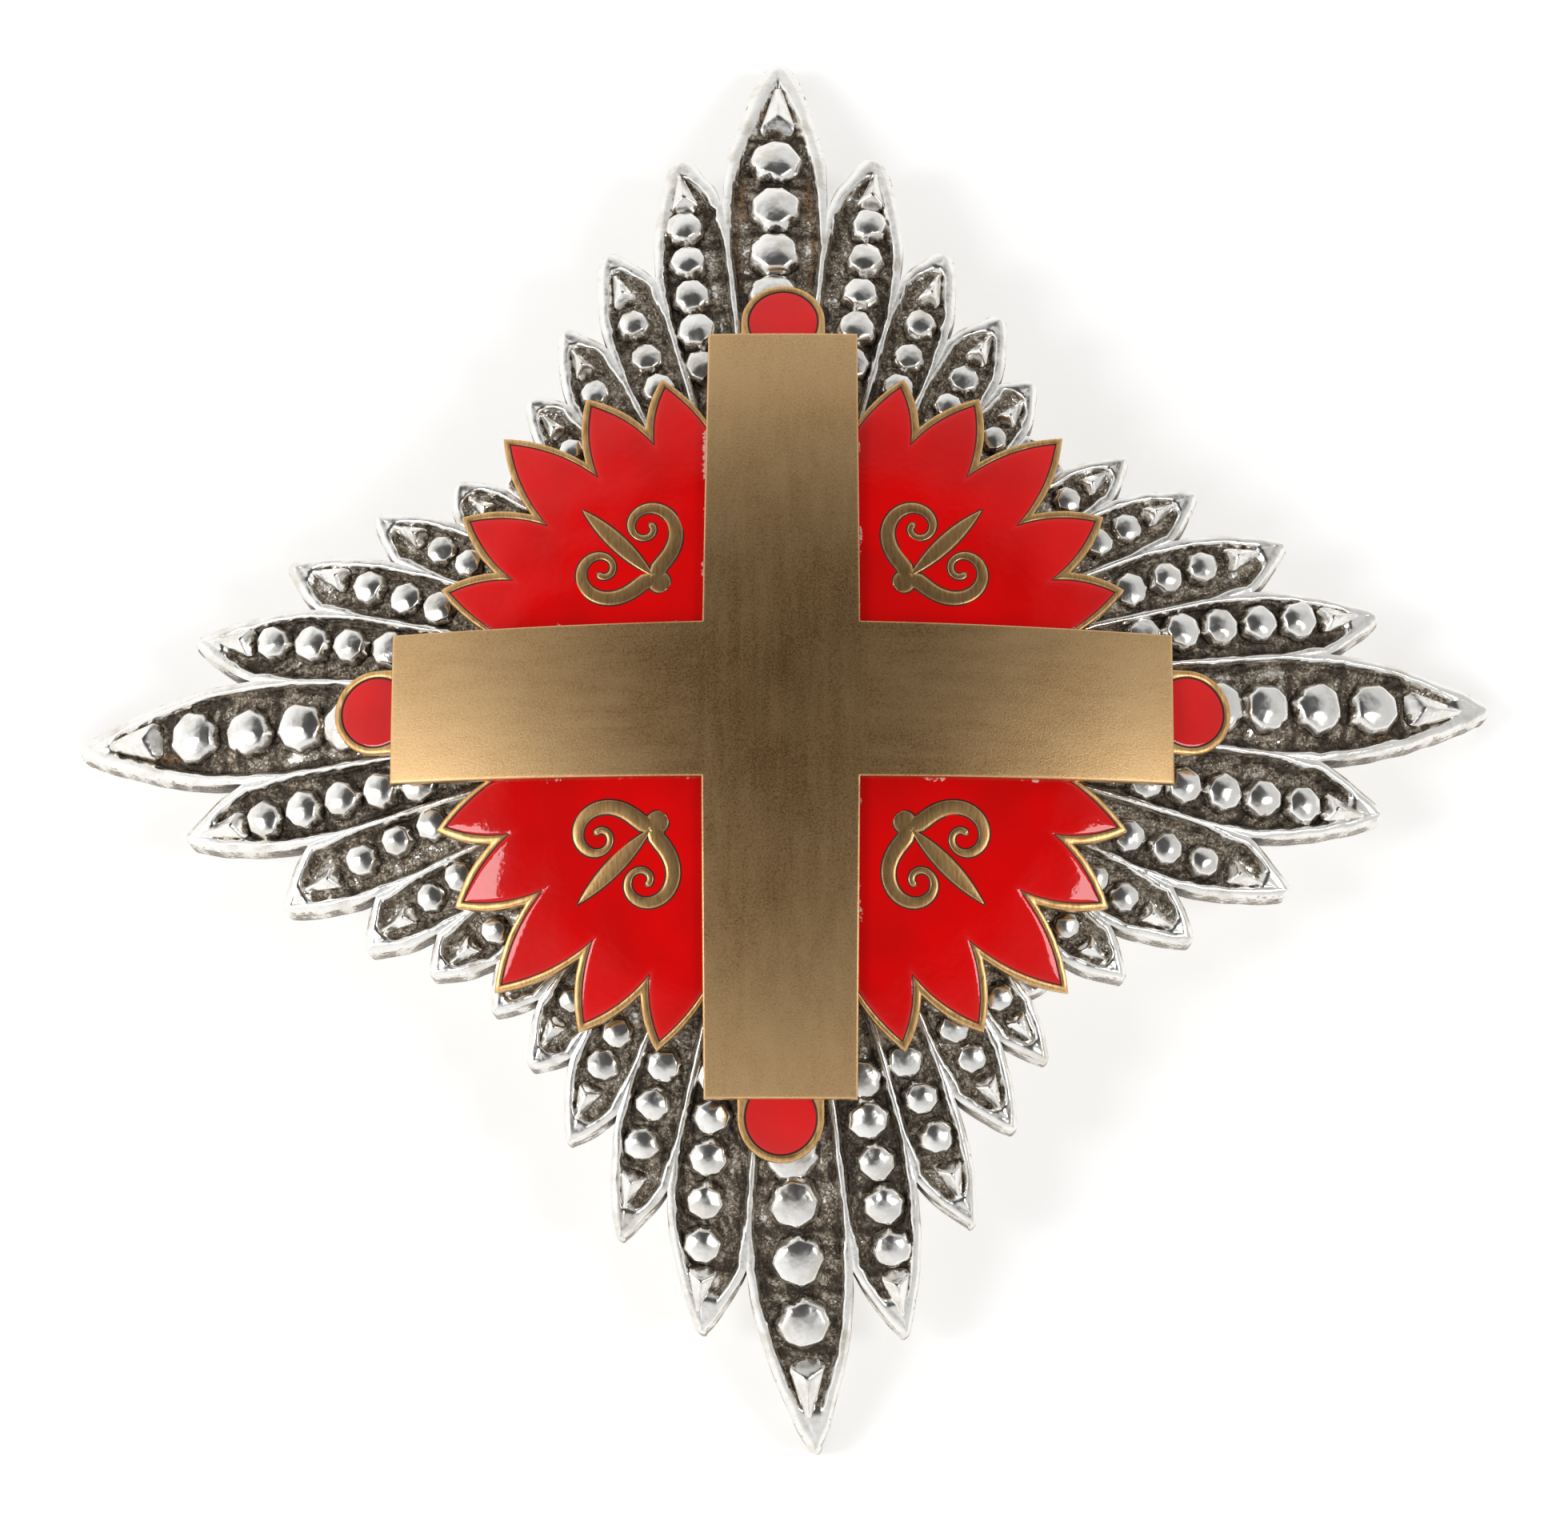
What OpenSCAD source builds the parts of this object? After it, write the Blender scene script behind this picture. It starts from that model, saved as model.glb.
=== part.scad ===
// Breast star: a domed cast star of forty rays, a gilt plate with red enamel
// over it, and a plain brass cross on top. +Z is the front, +Y the top ray,
// and the four long rays touch the floor at Z = 0 with their tips.

/* [Star] */
// Reach of the four long rays, from the middle to the tip
star_reach = 43.1; // [39:0.1:48]
// Radius of the dome that the rims of the rays follow
star_dome_r = 97; // [84:1:130]
// Thickness of the cast star, measured upright
star_wall = 2.8; // [2:0.1:3.4]
// Width of the raised rim at the free edge of a ray
rim_w = 0.62; // [0.4:0.02:0.8]
// Width of the ridge that two neighbouring rays share
ridge_w = 0.6; // [0.4:0.02:0.8]
// Depth of the channel inside the rims of a ray
channel_d = 0.6; // [0.3:0.05:0.9]
// Length of solid metal between the channel and the tip of a long ray
tip_solid = 2; // [1.2:0.1:2.6]
// Height of the cast beads above the rims
bead_proud = 0.42; // [0.1:0.02:0.6]
// How far the star is turned under the cross, in degrees
star_turn = 1.1; // [0:0.1:2.5]

/* [Plate] */
// Reach of the middle enamel lobe of each quarter, with its gilt rim
plate_reach = 23.55; // [22:0.05:25]
// Width of the gilt line round the enamel
gilt_line = 0.37; // [0.25:0.01:0.5]
// Thickness of the gilt plate
plate_t = 0.75; // [0.6:0.05:1.1]
// Depth of the enamel cells
cell_d = 0.35; // [0.2:0.05:0.45]
// How far the round tongues show past the arms of the cross
tongue_show = 3.5; // [2.6:0.05:4.5]
// Half width of a tongue, which is also the radius of its round end
tongue_r = 2.5; // [2.2:0.05:3]
// Size of the scroll ornament in each quarter, root to tip
scroll_size = 6.6; // [5.4:0.1:7.4]

/* [Cross] */
// How far below the star's middle the cross and the plate were set
cross_low = 0.25; // [0:0.05:0.4]
// Length of an arm of the cross, from the middle
cross_arm = 22.95; // [21.5:0.05:24]
// Width of an arm where the arms meet
cross_w = 9.2; // [8.4:0.1:10]
// Width of an arm at its end
cross_end_w = 8.9; // [8:0.1:10]
// Thickness of the cross
cross_t = 0.6; // [0.4:0.05:1]
// Radius of the dome of the upper face of the cross
cross_dome_r = 80.6; // [74:0.2:100]

/* [Pin] */
// Diameter of the brooch pin's wire
pin_d = 1.1; // [0.8:0.1:1.5]
// Distance between the middles of the two feet of the pin
pin_span = 38; // [30:1:44]
// Clear height between the wire and the back of the star at the feet
pin_clear = 4.2; // [4:0.1:4.8]
// Width of a foot
foot_w = 3; // [2:0.1:4]
// Length of a foot along the wire
foot_long = 2.6; // [1.8:0.1:4]

/* [Fits] */
// Gap between pieces that seat on each other
fit_gap = 0.06; // [0.04:0.01:0.12]
// Gap between the plate and the highest rims under it
ray_gap = 0.18; // [0.16:0.02:0.3]
// Gap over the pin's feet, which stand under flat facets of the star's back
foot_gap = 0.24; // [0.22:0.01:0.3]

/* [Hidden] */

// Facets of the domes and round pieces
dome_fn = 180;
round_fn = 64;

// The six kinds of ray from an arm's axis to the diagonal. Angles are in
// degrees from the arm, reaches are shares of star_reach, bead places and
// bead size are shares of the ray's own reach.
RAY_AZ = 0; RAY_REACH = 1; NOTCH_AZ = 2; NOTCH_REACH = 3;
STONE = 4; BEAD_SIZE = 5; BEADS = 6;
RAYS = [
  [ 0.00, 1.000,  5.9, 0.766, 0.906, 0.065, [0.824, 0.743, 0.668, 0.610]],
  [ 9.65, 0.846, 15.2, 0.670, 0.925, 0.059, [0.860, 0.793, 0.727, 0.662, 0.600]],
  [19.40, 0.737, 24.1, 0.592, 0.905, 0.059, [0.826, 0.753, 0.683]],
  [28.50, 0.650, 33.3, 0.542, 0.905, 0.061, [0.828, 0.756]],
  [36.95, 0.593, 41.2, 0.513, 0.905, 0.062, [0.822]],
  [45.00, 0.530, 48.8, 0.513, 0.910, 0.060, []]
];
KINDS = len(RAYS) - 1;
PER_ARM = 2 * KINDS;
RAY_COUNT = 4 * PER_ARM;

// How far each ray, counted from the east arm against the clock, and the notch
// after it were cast out of true: turn in degrees and stretch as a share
RAY_TURN = 0; RAY_STRETCH = 1; NOTCH_TURN = 2; NOTCH_STRETCH = 3;
CASTING = [
  [ 1.1, 0.995,  0.3, 0.999], [ 0.1, 1.000, -1.0, 1.008],
  [-0.6, 1.010, -0.8, 1.001], [-0.6, 1.009, -1.1, 1.005],
  [-0.7, 1.013, -1.1, 1.008], [-0.6, 0.999, -0.7, 1.007],
  [-0.5, 0.991, -0.5, 1.024], [-0.6, 0.998, -0.2, 0.981],
  [-0.4, 0.965, -0.5, 0.970], [-0.3, 0.995,  0.1, 0.970],
  [-0.5, 1.000, -0.3, 0.988], [-0.5, 0.996, -0.3, 0.973],
  [ 0.0, 0.975,  0.0, 0.973], [-0.4, 0.973,  0.0, 0.979],
  [ 0.3, 0.966,  0.2, 0.971], [ 0.1, 0.979,  0.9, 0.967],
  [ 0.2, 0.946,  1.7, 0.967], [ 0.8, 0.976,  1.3, 0.976],
  [ 0.5, 0.983,  0.8, 0.994], [ 0.2, 0.982,  0.4, 0.969],
  [ 0.1, 0.995, -0.3, 0.983], [ 0.2, 0.998, -1.0, 1.008],
  [ 0.6, 0.998, -0.7, 1.029], [ 0.3, 1.007, -1.2, 1.032],
  [-0.8, 1.011, -0.2, 1.014], [ 0.5, 1.075,  0.6, 1.006],
  [ 0.9, 1.003,  1.3, 1.024], [ 1.2, 1.008,  1.1, 1.005],
  [ 1.2, 1.015,  0.8, 1.000], [ 1.1, 1.001,  1.2, 0.990],
  [ 1.5, 1.000,  0.3, 0.997], [ 0.6, 1.017, -0.4, 0.993],
  [ 0.0, 1.010, -1.4, 0.975], [-0.7, 1.004, -1.3, 0.998],
  [-1.1, 1.009, -1.8, 1.006], [-1.9, 0.986, -2.0, 1.001],
  [-2.3, 0.998, -1.3, 0.985], [-1.8, 0.986, -1.3, 0.986],
  [-0.7, 0.998, -0.6, 0.988], [-0.1, 0.994,  0.5, 0.971]
];

// Rows of the ray surface: from the root to the notch, then on to the tip
ROWS_IN = 2;
ROWS_OUT = 4;
ROWS = ROWS_IN + ROWS_OUT;
// Bulge of a ray's free edge, as a share of its length
edge_bow = 0.055;
// Lean of the channel's walls
channel_lean = 0.16;
// Start of the ray surface, under the plate
root_r = 0.28 * star_reach;

// The enamel lobes of one quarter: angle from the diagonal, and reach of the
// gilt tip as a share of plate_reach
LOBE_AZ = 0; LOBE_REACH = 1;
LOBES = [[-25.3, 0.909], [-13.35, 0.948], [0, 1], [13.35, 0.948], [25.3, 0.909]];
// Notches between the lobes: the two outer ones lie under the cross
LOBE_NOTCHES = [[-32.1, 0.690], [-19.4, 0.797], [-6.8, 0.800], [6.8, 0.800], [19.4, 0.797], [32.1, 0.690]];
// Bulge of a lobe's edge, as a share of its length, and its points
lobe_bow = 0.067;
LOBE_STEPS = 5;
// How much further in the enamel's points and notches lie than the gilt ones,
// in widths of the gilt line
tip_inset = 1.4;
notch_inset = 3.1;
// Points and notches are set in by this many gaps, so that the gap is even
point_gaps = 2.4;
// How far the enamel reaches under the edge of the cross
under_cross = 0.5;
// Middle of the scroll ornament, as a share of plate_reach
scroll_place = 0.55;

// Heights below the top of the cross
plate_r = cross_dome_r - cross_t - fit_gap;
plate_under_r = plate_r - plate_t;
// Reach of the tongues and of their discs' middles
tongue_reach = cross_arm + tongue_show;
disc_at = tongue_reach - tongue_r;
disc_r = tongue_r - gilt_line;

// Drop of a dome of radius r at the distance d from its top
function dome_drop(r, d) = r - sqrt(r * r - d * d);
// Depth of the plate's underside below the top of the cross
function plate_under(d) = cross_dome_r - plate_under_r + dome_drop(plate_under_r, d);
// The star lies as high as the plate over it allows, above the middle, where
// the plate was set closer to the star's dome
function star_need(d) = plate_under(d) + ray_gap - dome_drop(star_dome_r, max(d - cross_low, 0));
star_drop = max(star_need(0), star_need(plate_reach), star_need(tongue_reach));
// The top of the cross stands this high over the floor
rise = star_drop + dome_drop(star_dome_r, star_reach) + star_wall;

// Height of the star's rims, and of the star's back
function rim_z(d) = rise - star_drop - dome_drop(star_dome_r, d);
function back_z(d) = rim_z(d) - star_wall;

function polar(az, r) = [r * cos(az), r * sin(az)];
function mix(a, b, f) = a + (b - a) * f;
// A point on the shallow bow from p to q, which bulges to its left
function bow(p, q, share, f) =
  mix(p, q, f) + 4 * share * f * (1 - f) * [p.y - q.y, q.x - p.x];

// Ray k, counted from the east arm against the clock
function kind(k) = let(m = k % PER_ARM) m <= KINDS ? m : PER_ARM - m;
function true_az(k) =
  let(m = k % PER_ARM, arm = floor(k / PER_ARM) * 90)
  arm + (m <= KINDS ? RAYS[m][RAY_AZ] : 90 - RAYS[PER_ARM - m][RAY_AZ]);
function ray_az(k) = true_az(k) + star_turn + CASTING[k][RAY_TURN];
function ray_share(k) = RAYS[kind(k)][RAY_REACH] * CASTING[k][RAY_STRETCH];
function ray_reach(k) = star_reach * ray_share(k);
// Notch k lies between ray k and ray k + 1
function notch_kind(k) = let(m = k % PER_ARM) m < KINDS ? m : PER_ARM - 1 - m;
function true_notch_az(k) =
  let(m = k % PER_ARM, arm = floor(k / PER_ARM) * 90, a = RAYS[notch_kind(k)][NOTCH_AZ])
  arm + (m < KINDS ? a : 90 - a);
function notch_az(k) = true_notch_az(k) + star_turn + CASTING[k][NOTCH_TURN];
function notch_reach(k) = star_reach * RAYS[notch_kind(k)][NOTCH_REACH] * CASTING[k][NOTCH_STRETCH];
function notch_of(k, side) = side > 0 ? k : (k + RAY_COUNT - 1) % RAY_COUNT;
// The point half-way between the notches of ray k
function fork_az(k) = (notch_az(notch_of(k, -1)) - (k == 0 ? 360 : 0) + notch_az(k)) / 2;
function fork_reach(k) = (notch_reach(notch_of(k, -1)) + notch_reach(k)) / 2;
// Angle of the ray's middle line, which need not point to the star's middle
function axis_az(k, d) =
  mix(ray_az(k), fork_az(k), (ray_reach(k) - d) / (ray_reach(k) - fork_reach(k)));

// A point of ray k's outline in plan, on row j
function edge_at(k, side, j) =
  let(n = notch_of(k, side), foot = polar(notch_az(n), notch_reach(n)), tip = polar(ray_az(k), ray_reach(k)))
  j <= ROWS_IN ? polar(notch_az(n), mix(root_r, notch_reach(n), j / ROWS_IN))
    : bow(foot, tip, side * edge_bow, (j - ROWS_IN) / ROWS_OUT);

// A point of a line that runs inside ray k's edge, on row j: set in by at_root
// at the root, by at_notch at the notch and by at_tip at the tip
function lane_at(k, side, j, at_root, at_notch, at_tip) =
  let(
    n = notch_of(k, side), across = polar(ray_az(k) + 90, side),
    root = polar(notch_az(n), root_r) - across * at_root,
    foot = polar(notch_az(n), notch_reach(n)) - across * at_notch,
    tip = polar(ray_az(k), ray_reach(k) - at_tip * ray_share(k))
  )
  j <= ROWS_IN ? mix(root, foot, j / ROWS_IN)
    : bow(foot, tip, side * edge_bow, (j - ROWS_IN) / ROWS_OUT);
function channel_at(k, side, j) = lane_at(k, side, j, ridge_w / 2, rim_w, tip_solid);
function floor_at(k, side, j) =
  lane_at(k, side, j, ridge_w / 2 + channel_lean, rim_w + channel_lean, tip_solid + 2 * channel_lean);

// Raise a plan point on to a dome: rims, channel floor or back of the star
function on_rims(p) = [p.x, p.y, rim_z(norm(p))];
function on_floor(p) = [p.x, p.y, rim_z(norm(p)) - channel_d];
function on_back(p) = [p.x, p.y, back_z(norm(p))];

// The star's points stand in blocks: the shared ridges, the free edges, the
// tips, the same again for the back, then the channels' tops and floors
SIDES = [-1, 1];
RIDGE_ROWS = ROWS_IN + 1;
FREE_ROWS = ROWS_OUT - 1;
FREE_START = RAY_COUNT * RIDGE_ROWS;
TIP_START = FREE_START + RAY_COUNT * 2 * FREE_ROWS;
EDGE_COUNT = TIP_START + RAY_COUNT;
LANE_COUNT = RAY_COUNT * 2 * ROWS + RAY_COUNT;
CHANNEL_START = 2 * EDGE_COUNT;
FLOOR_START = CHANNEL_START + LANE_COUNT;
CENTRE = FLOOR_START + LANE_COUNT;

EDGE_PLAN = concat(
  [for (k = [0:RAY_COUNT - 1], j = [0:ROWS_IN]) edge_at(k, 1, j)],
  [for (k = [0:RAY_COUNT - 1], side = SIDES, j = [ROWS_IN + 1:ROWS - 1]) edge_at(k, side, j)],
  [for (k = [0:RAY_COUNT - 1]) polar(ray_az(k), ray_reach(k))]
);
CHANNEL_PLAN = concat(
  [for (k = [0:RAY_COUNT - 1], side = SIDES, j = [0:ROWS - 1]) channel_at(k, side, j)],
  [for (k = [0:RAY_COUNT - 1]) channel_at(k, 1, ROWS)]
);
FLOOR_PLAN = concat(
  [for (k = [0:RAY_COUNT - 1], side = SIDES, j = [0:ROWS - 1]) floor_at(k, side, j)],
  [for (k = [0:RAY_COUNT - 1]) floor_at(k, 1, ROWS)]
);

function side_index(side) = side > 0 ? 1 : 0;
function edge_id(k, side, j) =
  j <= ROWS_IN ? notch_of(k, side) * RIDGE_ROWS + j
    : j < ROWS ? FREE_START + (k * 2 + side_index(side)) * FREE_ROWS + j - ROWS_IN - 1
      : TIP_START + k;
function back_id(k, side, j) = EDGE_COUNT + edge_id(k, side, j);
function lane_id(start, k, side, j) =
  start + (j < ROWS ? (k * 2 + side_index(side)) * ROWS + j : RAY_COUNT * 2 * ROWS + k);
function channel_id(k, side, j) = lane_id(CHANNEL_START, k, side, j);
function floor_id(k, side, j) = lane_id(FLOOR_START, k, side, j);

// Two triangles, or one where the last two points are the same
function quad(a, b, c, d) = c == d ? [[a, b, c]] : [[a, b, c], [a, c, d]];
// A ray's upper side from its clockwise edge to its other edge
function ray_columns(k, j) = [
  edge_id(k, -1, j), channel_id(k, -1, j), floor_id(k, -1, j),
  floor_id(k, 1, j), channel_id(k, 1, j), edge_id(k, 1, j)
];
// The index of every item that has another after it
function with_next(list) = [0:len(list) - 2];
function ray_faces(k) = [
  for (j = [0:ROWS - 1])
    let(here = ray_columns(k, j), out = ray_columns(k, j + 1))
    each [
      for (c = with_next(here)) each quad(here[c], here[c + 1], out[c + 1], out[c]),
      each quad(back_id(k, 1, j), back_id(k, -1, j), back_id(k, -1, j + 1), back_id(k, 1, j + 1)),
      each j < ROWS_IN ? [] : quad(edge_id(k, 1, j), back_id(k, 1, j), back_id(k, 1, j + 1), edge_id(k, 1, j + 1)),
      each j < ROWS_IN ? [] : quad(back_id(k, -1, j), edge_id(k, -1, j), edge_id(k, -1, j + 1), back_id(k, -1, j + 1))
    ],
  let(here = ray_columns(k, 0))
    each [for (c = with_next(here)) [CENTRE, here[c + 1], here[c]]],
  [CENTRE + 1, back_id(k, -1, 0), back_id(k, 1, 0)]
];

module star_shell() {
  polyhedron(
    points = concat(
      [for (p = EDGE_PLAN) on_rims(p)],
      [for (p = EDGE_PLAN) on_back(p)],
      [for (p = CHANNEL_PLAN) on_rims(p)],
      [for (p = FLOOR_PLAN) on_floor(p)],
      [[0, 0, rim_z(0) - channel_d], [0, 0, back_z(0)]]
    ),
    faces = [for (k = [0:RAY_COUNT - 1]) each ray_faces(k)],
    convexity = 6
  );
}

// Place things on ray k's channel floor at the distance d from the middle,
// square to the dome, with +X towards the tip
module on_ray(k, d) {
  rotate(axis_az(k, d))
    translate([d, 0, rim_z(d) - channel_d])
      rotate([0, asin(d / star_dome_r), 0])
        children();
}

// A bead's section at three heights: share of its diameter, share of its
// height over the channel floor, and turn. The lowest lies in the floor
BEAD_SIDES = 8;
BEAD_SECTIONS = [[1, -0.3, 0], [0.86, 0.55, 0], [0.44, 1, 22.5]];
// A stone in plan, in shares of its width: its foot and its flat top
STONE_FOOT = [[0.8, 0], [-0.66, 0.48], [-0.66, -0.48]];
STONE_TOP = [[0.1, 0], [-0.4, 0.17], [-0.4, -0.17]];
// Thickness of the thin levels that beads and stones are drawn through
level_t = 0.02;

module level(z) {
  translate([0, 0, z - level_t]) linear_extrude(level_t) children();
}

// A domed bead with flat facets round a table
module bead(d, high) {
  hull() for (at = BEAD_SECTIONS)
    level(at[1] * high) rotate(at[2]) circle(d = at[0] * d, $fn = BEAD_SIDES);
}

// A three-sided stone that points to the tip of its ray
module tip_stone(w, high) {
  hull() {
    level(BEAD_SECTIONS[0][1] * high) polygon(STONE_FOOT * w);
    level(high) polygon(STONE_TOP * w);
  }
}

// What stands where the plate may reach over it ends level with the rims
module star_beads() {
  for (k = [0:RAY_COUNT - 1]) {
    row = RAYS[kind(k)];
    size = row[BEAD_SIZE] * ray_reach(k);
    clear_of_plate = cross_low + (kind(k) == 0 ? tongue_reach + size / 2 : plate_reach);
    stone_at = row[STONE] * ray_reach(k);
    on_ray(k, stone_at) tip_stone(size, channel_d + (stone_at > clear_of_plate ? bead_proud : 0));
    for (place = row[BEADS])
      let(d = place * ray_reach(k))
        on_ray(k, d) bead(size, channel_d + (d > clear_of_plate ? bead_proud : 0));
  }
}

module star_body() {
  color("silver") {
    star_shell();
    star_beads();
  }
}

// Shift the cross, or what lies under it, down to where it was set
module set_low() {
  translate([0, -cross_low, 0]) children();
}

// A ball whose top lies the given depth below the top of the cross
module dome_ball(r) {
  translate([0, 0, rise - cross_dome_r]) rotate([90, 0, 0]) sphere(r = r, $fn = dome_fn);
}

// Upright prisms end this far over the top of the part
over = 1;

// Cut an upright prism down to a curved sheet between two radii
module sheet(r_out, r_in) {
  difference() {
    intersection() {
      linear_extrude(rise + over) children();
      dome_ball(r_out);
    }
    dome_ball(r_in);
  }
}

// Points of quarter q's lobes, from its east side to its north side. deep is
// how far the points and notches are set in, in that order
function lobe_points(q, deep) =
  let(
    tips = [for (l = LOBES) polar(90 * q + 45 + l[LOBE_AZ], plate_reach * l[LOBE_REACH] - deep[0])],
    feet = [for (l = LOBE_NOTCHES) polar(90 * q + 45 + l[LOBE_AZ], plate_reach * l[LOBE_REACH] - deep[1])]
  )
  [for (i = [0:len(tips) - 1]) each concat(
    [for (s = [0:LOBE_STEPS - 1]) bow(feet[i], tips[i], -lobe_bow, s / LOBE_STEPS)],
    [for (s = [0:LOBE_STEPS - 1]) bow(tips[i], feet[i + 1], -lobe_bow, s / LOBE_STEPS)]
  ), feet[len(tips)]];

// The plate in plan: four sets of lobes round a core, and four tongues
module plate_plan() {
  polygon([for (q = [0:3]) each lobe_points(q, [0, 0])]);
  for (q = [0:3]) rotate(90 * q) {
    translate([0, -tongue_r]) square([disc_at, 2 * tongue_r]);
    translate([disc_at, 0]) circle(r = tongue_r, $fn = round_fn);
  }
}

// The scroll ornament, in shares of scroll_size: a tapering arm that leaves the
// base and winds in round its eye, the same mirrored, a bud and a round base
VOLUTE_STEPS = 24;
volute_turn = 470;
volute_start = -125;
// How soon the arm winds in, and how soon it grows thin
volute_wind = 0.35;
volute_taper = 1.6;
volute_eye = [0.275, 0.02];
VOLUTE_R = [0.5, 0.05];
VOLUTE_HALF = [0.072, 0.026];
bud_foot = -0.36;
bud_top = 0.56;
bud_bow = 0.08;
base_at = -0.43;
base_r = 0.1;
function volute_spine(f) =
  let(r = mix(VOLUTE_R[0], VOLUTE_R[1], pow(f, volute_wind)))
  scroll_size * (volute_eye + polar(volute_start + volute_turn * f, r));
function volute_half(f) = scroll_size * mix(VOLUTE_HALF[0], VOLUTE_HALF[1], min(1, volute_taper * f));
// The outline of the arm, widened all round by grow
function volute_points(grow) =
  let(
    spine = [for (i = [0:VOLUTE_STEPS]) volute_spine(i / VOLUTE_STEPS)],
    ahead = [for (i = [0:VOLUTE_STEPS])
      let(d = spine[min(i + 1, VOLUTE_STEPS)] - spine[max(i - 1, 0)]) d / norm(d)],
    half = [for (i = [0:VOLUTE_STEPS]) volute_half(i / VOLUTE_STEPS) + grow],
    middle = [for (i = [0:VOLUTE_STEPS]) spine[i] + (i == VOLUTE_STEPS ? grow : 0) * ahead[i]]
  )
  concat(
    [for (i = [0:VOLUTE_STEPS]) middle[i] + half[i] * [ahead[i].y, -ahead[i].x]],
    [for (i = [VOLUTE_STEPS:-1:0]) middle[i] - half[i] * [ahead[i].y, -ahead[i].x]]
  );

module scroll_ornament(grow) {
  polygon(volute_points(grow));
  mirror([1, 0]) polygon(volute_points(grow));
  foot = [0, bud_foot * scroll_size - grow];
  top = [0, bud_top * scroll_size + 2 * grow];
  wide = bud_bow + grow / scroll_size;
  polygon(concat(
    [for (s = [0:LOBE_STEPS - 1]) bow(foot, top, -wide, s / LOBE_STEPS)],
    [for (s = [0:LOBE_STEPS - 1]) bow(top, foot, -wide, s / LOBE_STEPS)]
  ));
  translate([0, base_at * scroll_size]) circle(r = base_r * scroll_size + grow, $fn = round_fn);
}

// The enamel cell of quarter q in plan, set in by slack
module quarter_plan(q, slack) {
  inner = cross_end_w / 2 - under_cross + slack;
  difference() {
    intersection() {
      polygon(concat(
        lobe_points(q, [for (inset = [tip_inset, notch_inset]) inset * gilt_line + point_gaps * slack]),
        [[0, 0]]
      ));
      rotate(90 * q) translate([inner, inner]) square(tongue_reach);
    }
    rotate(90 * q - 45) translate([0, scroll_place * plate_reach]) scroll_ornament(slack);
  }
}

module disc_plan(q, slack) {
  rotate(90 * q) translate([disc_at, 0]) circle(r = disc_r - slack, $fn = round_fn);
}

// The gilt plate, with a cell for each quarter and each disc
module gilt_plate() {
  color("goldenrod") difference() {
    sheet(plate_r, plate_under_r) plate_plan();
    difference() {
      linear_extrude(rise + 2 * over) for (q = [0:3]) {
        quarter_plan(q, 0);
        disc_plan(q, 0);
      }
      dome_ball(plate_r - cell_d);
    }
  }
}

module enamel_quarter(q) {
  color("red") sheet(plate_r, plate_r - cell_d + fit_gap) quarter_plan(q, fit_gap);
}

module enamel_disc(q) {
  color("red") sheet(plate_r, plate_r - cell_d + fit_gap) disc_plan(q, fit_gap);
}

// The cross in plan: each arm is a little narrower at its end
module brass_cross() {
  root = cross_w / 2;
  end = cross_end_w / 2;
  arm = [[cross_arm, -end], [cross_arm, end], [root, root]];
  color("darkgoldenrod")
    sheet(cross_dome_r, cross_dome_r - cross_t)
      polygon([for (q = [0:3], p = arm) [
        p.x * cos(90 * q) - p.y * sin(90 * q), p.x * sin(90 * q) + p.y * cos(90 * q)
      ]]);
}

// The brooch pin: a wire between two feet that stand on the star's back. A foot
// is cut off square to the back, at the gap under it
module pin_foot(side, wire_z) {
  at = side * pin_span / 2;
  intersection() {
    translate([-foot_w / 2, at - foot_long / 2, wire_z - pin_d])
      cube([foot_w, foot_long, pin_clear + 3 * pin_d]);
    translate([0, at, back_z(at) - foot_gap])
      rotate([-asin(at / star_dome_r), 0, 0])
        translate([-foot_w, -2 * foot_long, -3 * pin_clear])
          cube([2 * foot_w, 4 * foot_long, 3 * pin_clear]);
  }
}

module brooch_pin() {
  wire_z = back_z(pin_span / 2) - pin_clear - pin_d / 2;
  color("silver") {
    translate([0, 0, wire_z])
      rotate([90, 0, 0])
        cylinder(d = pin_d, h = pin_span + foot_long, center = true, $fn = round_fn);
    for (side = SIDES) pin_foot(side, wire_z);
  }
}

star_body();
set_low() gilt_plate();
set_low() brass_cross();
brooch_pin();
set_low() enamel_quarter(0);  // enamel_quarter_ne
set_low() enamel_quarter(1);  // enamel_quarter_nw
set_low() enamel_quarter(2);  // enamel_quarter_sw
set_low() enamel_quarter(3);  // enamel_quarter_se
set_low() enamel_disc(0);  // enamel_disc_east
set_low() enamel_disc(1);  // enamel_disc_north
set_low() enamel_disc(2);  // enamel_disc_west
set_low() enamel_disc(3);  // enamel_disc_south
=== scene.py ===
"""The looks of a breast star: a cast, silvered star, a gilt plate with red enamel and a plain brass cross.

Lengths are in millimetres until a mesh is made. +Z is the front of the star and +Y its top ray.
"""

import logging
import math
from collections.abc import Callable
from dataclasses import dataclass, field
from enum import Enum
from functools import partial

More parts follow.
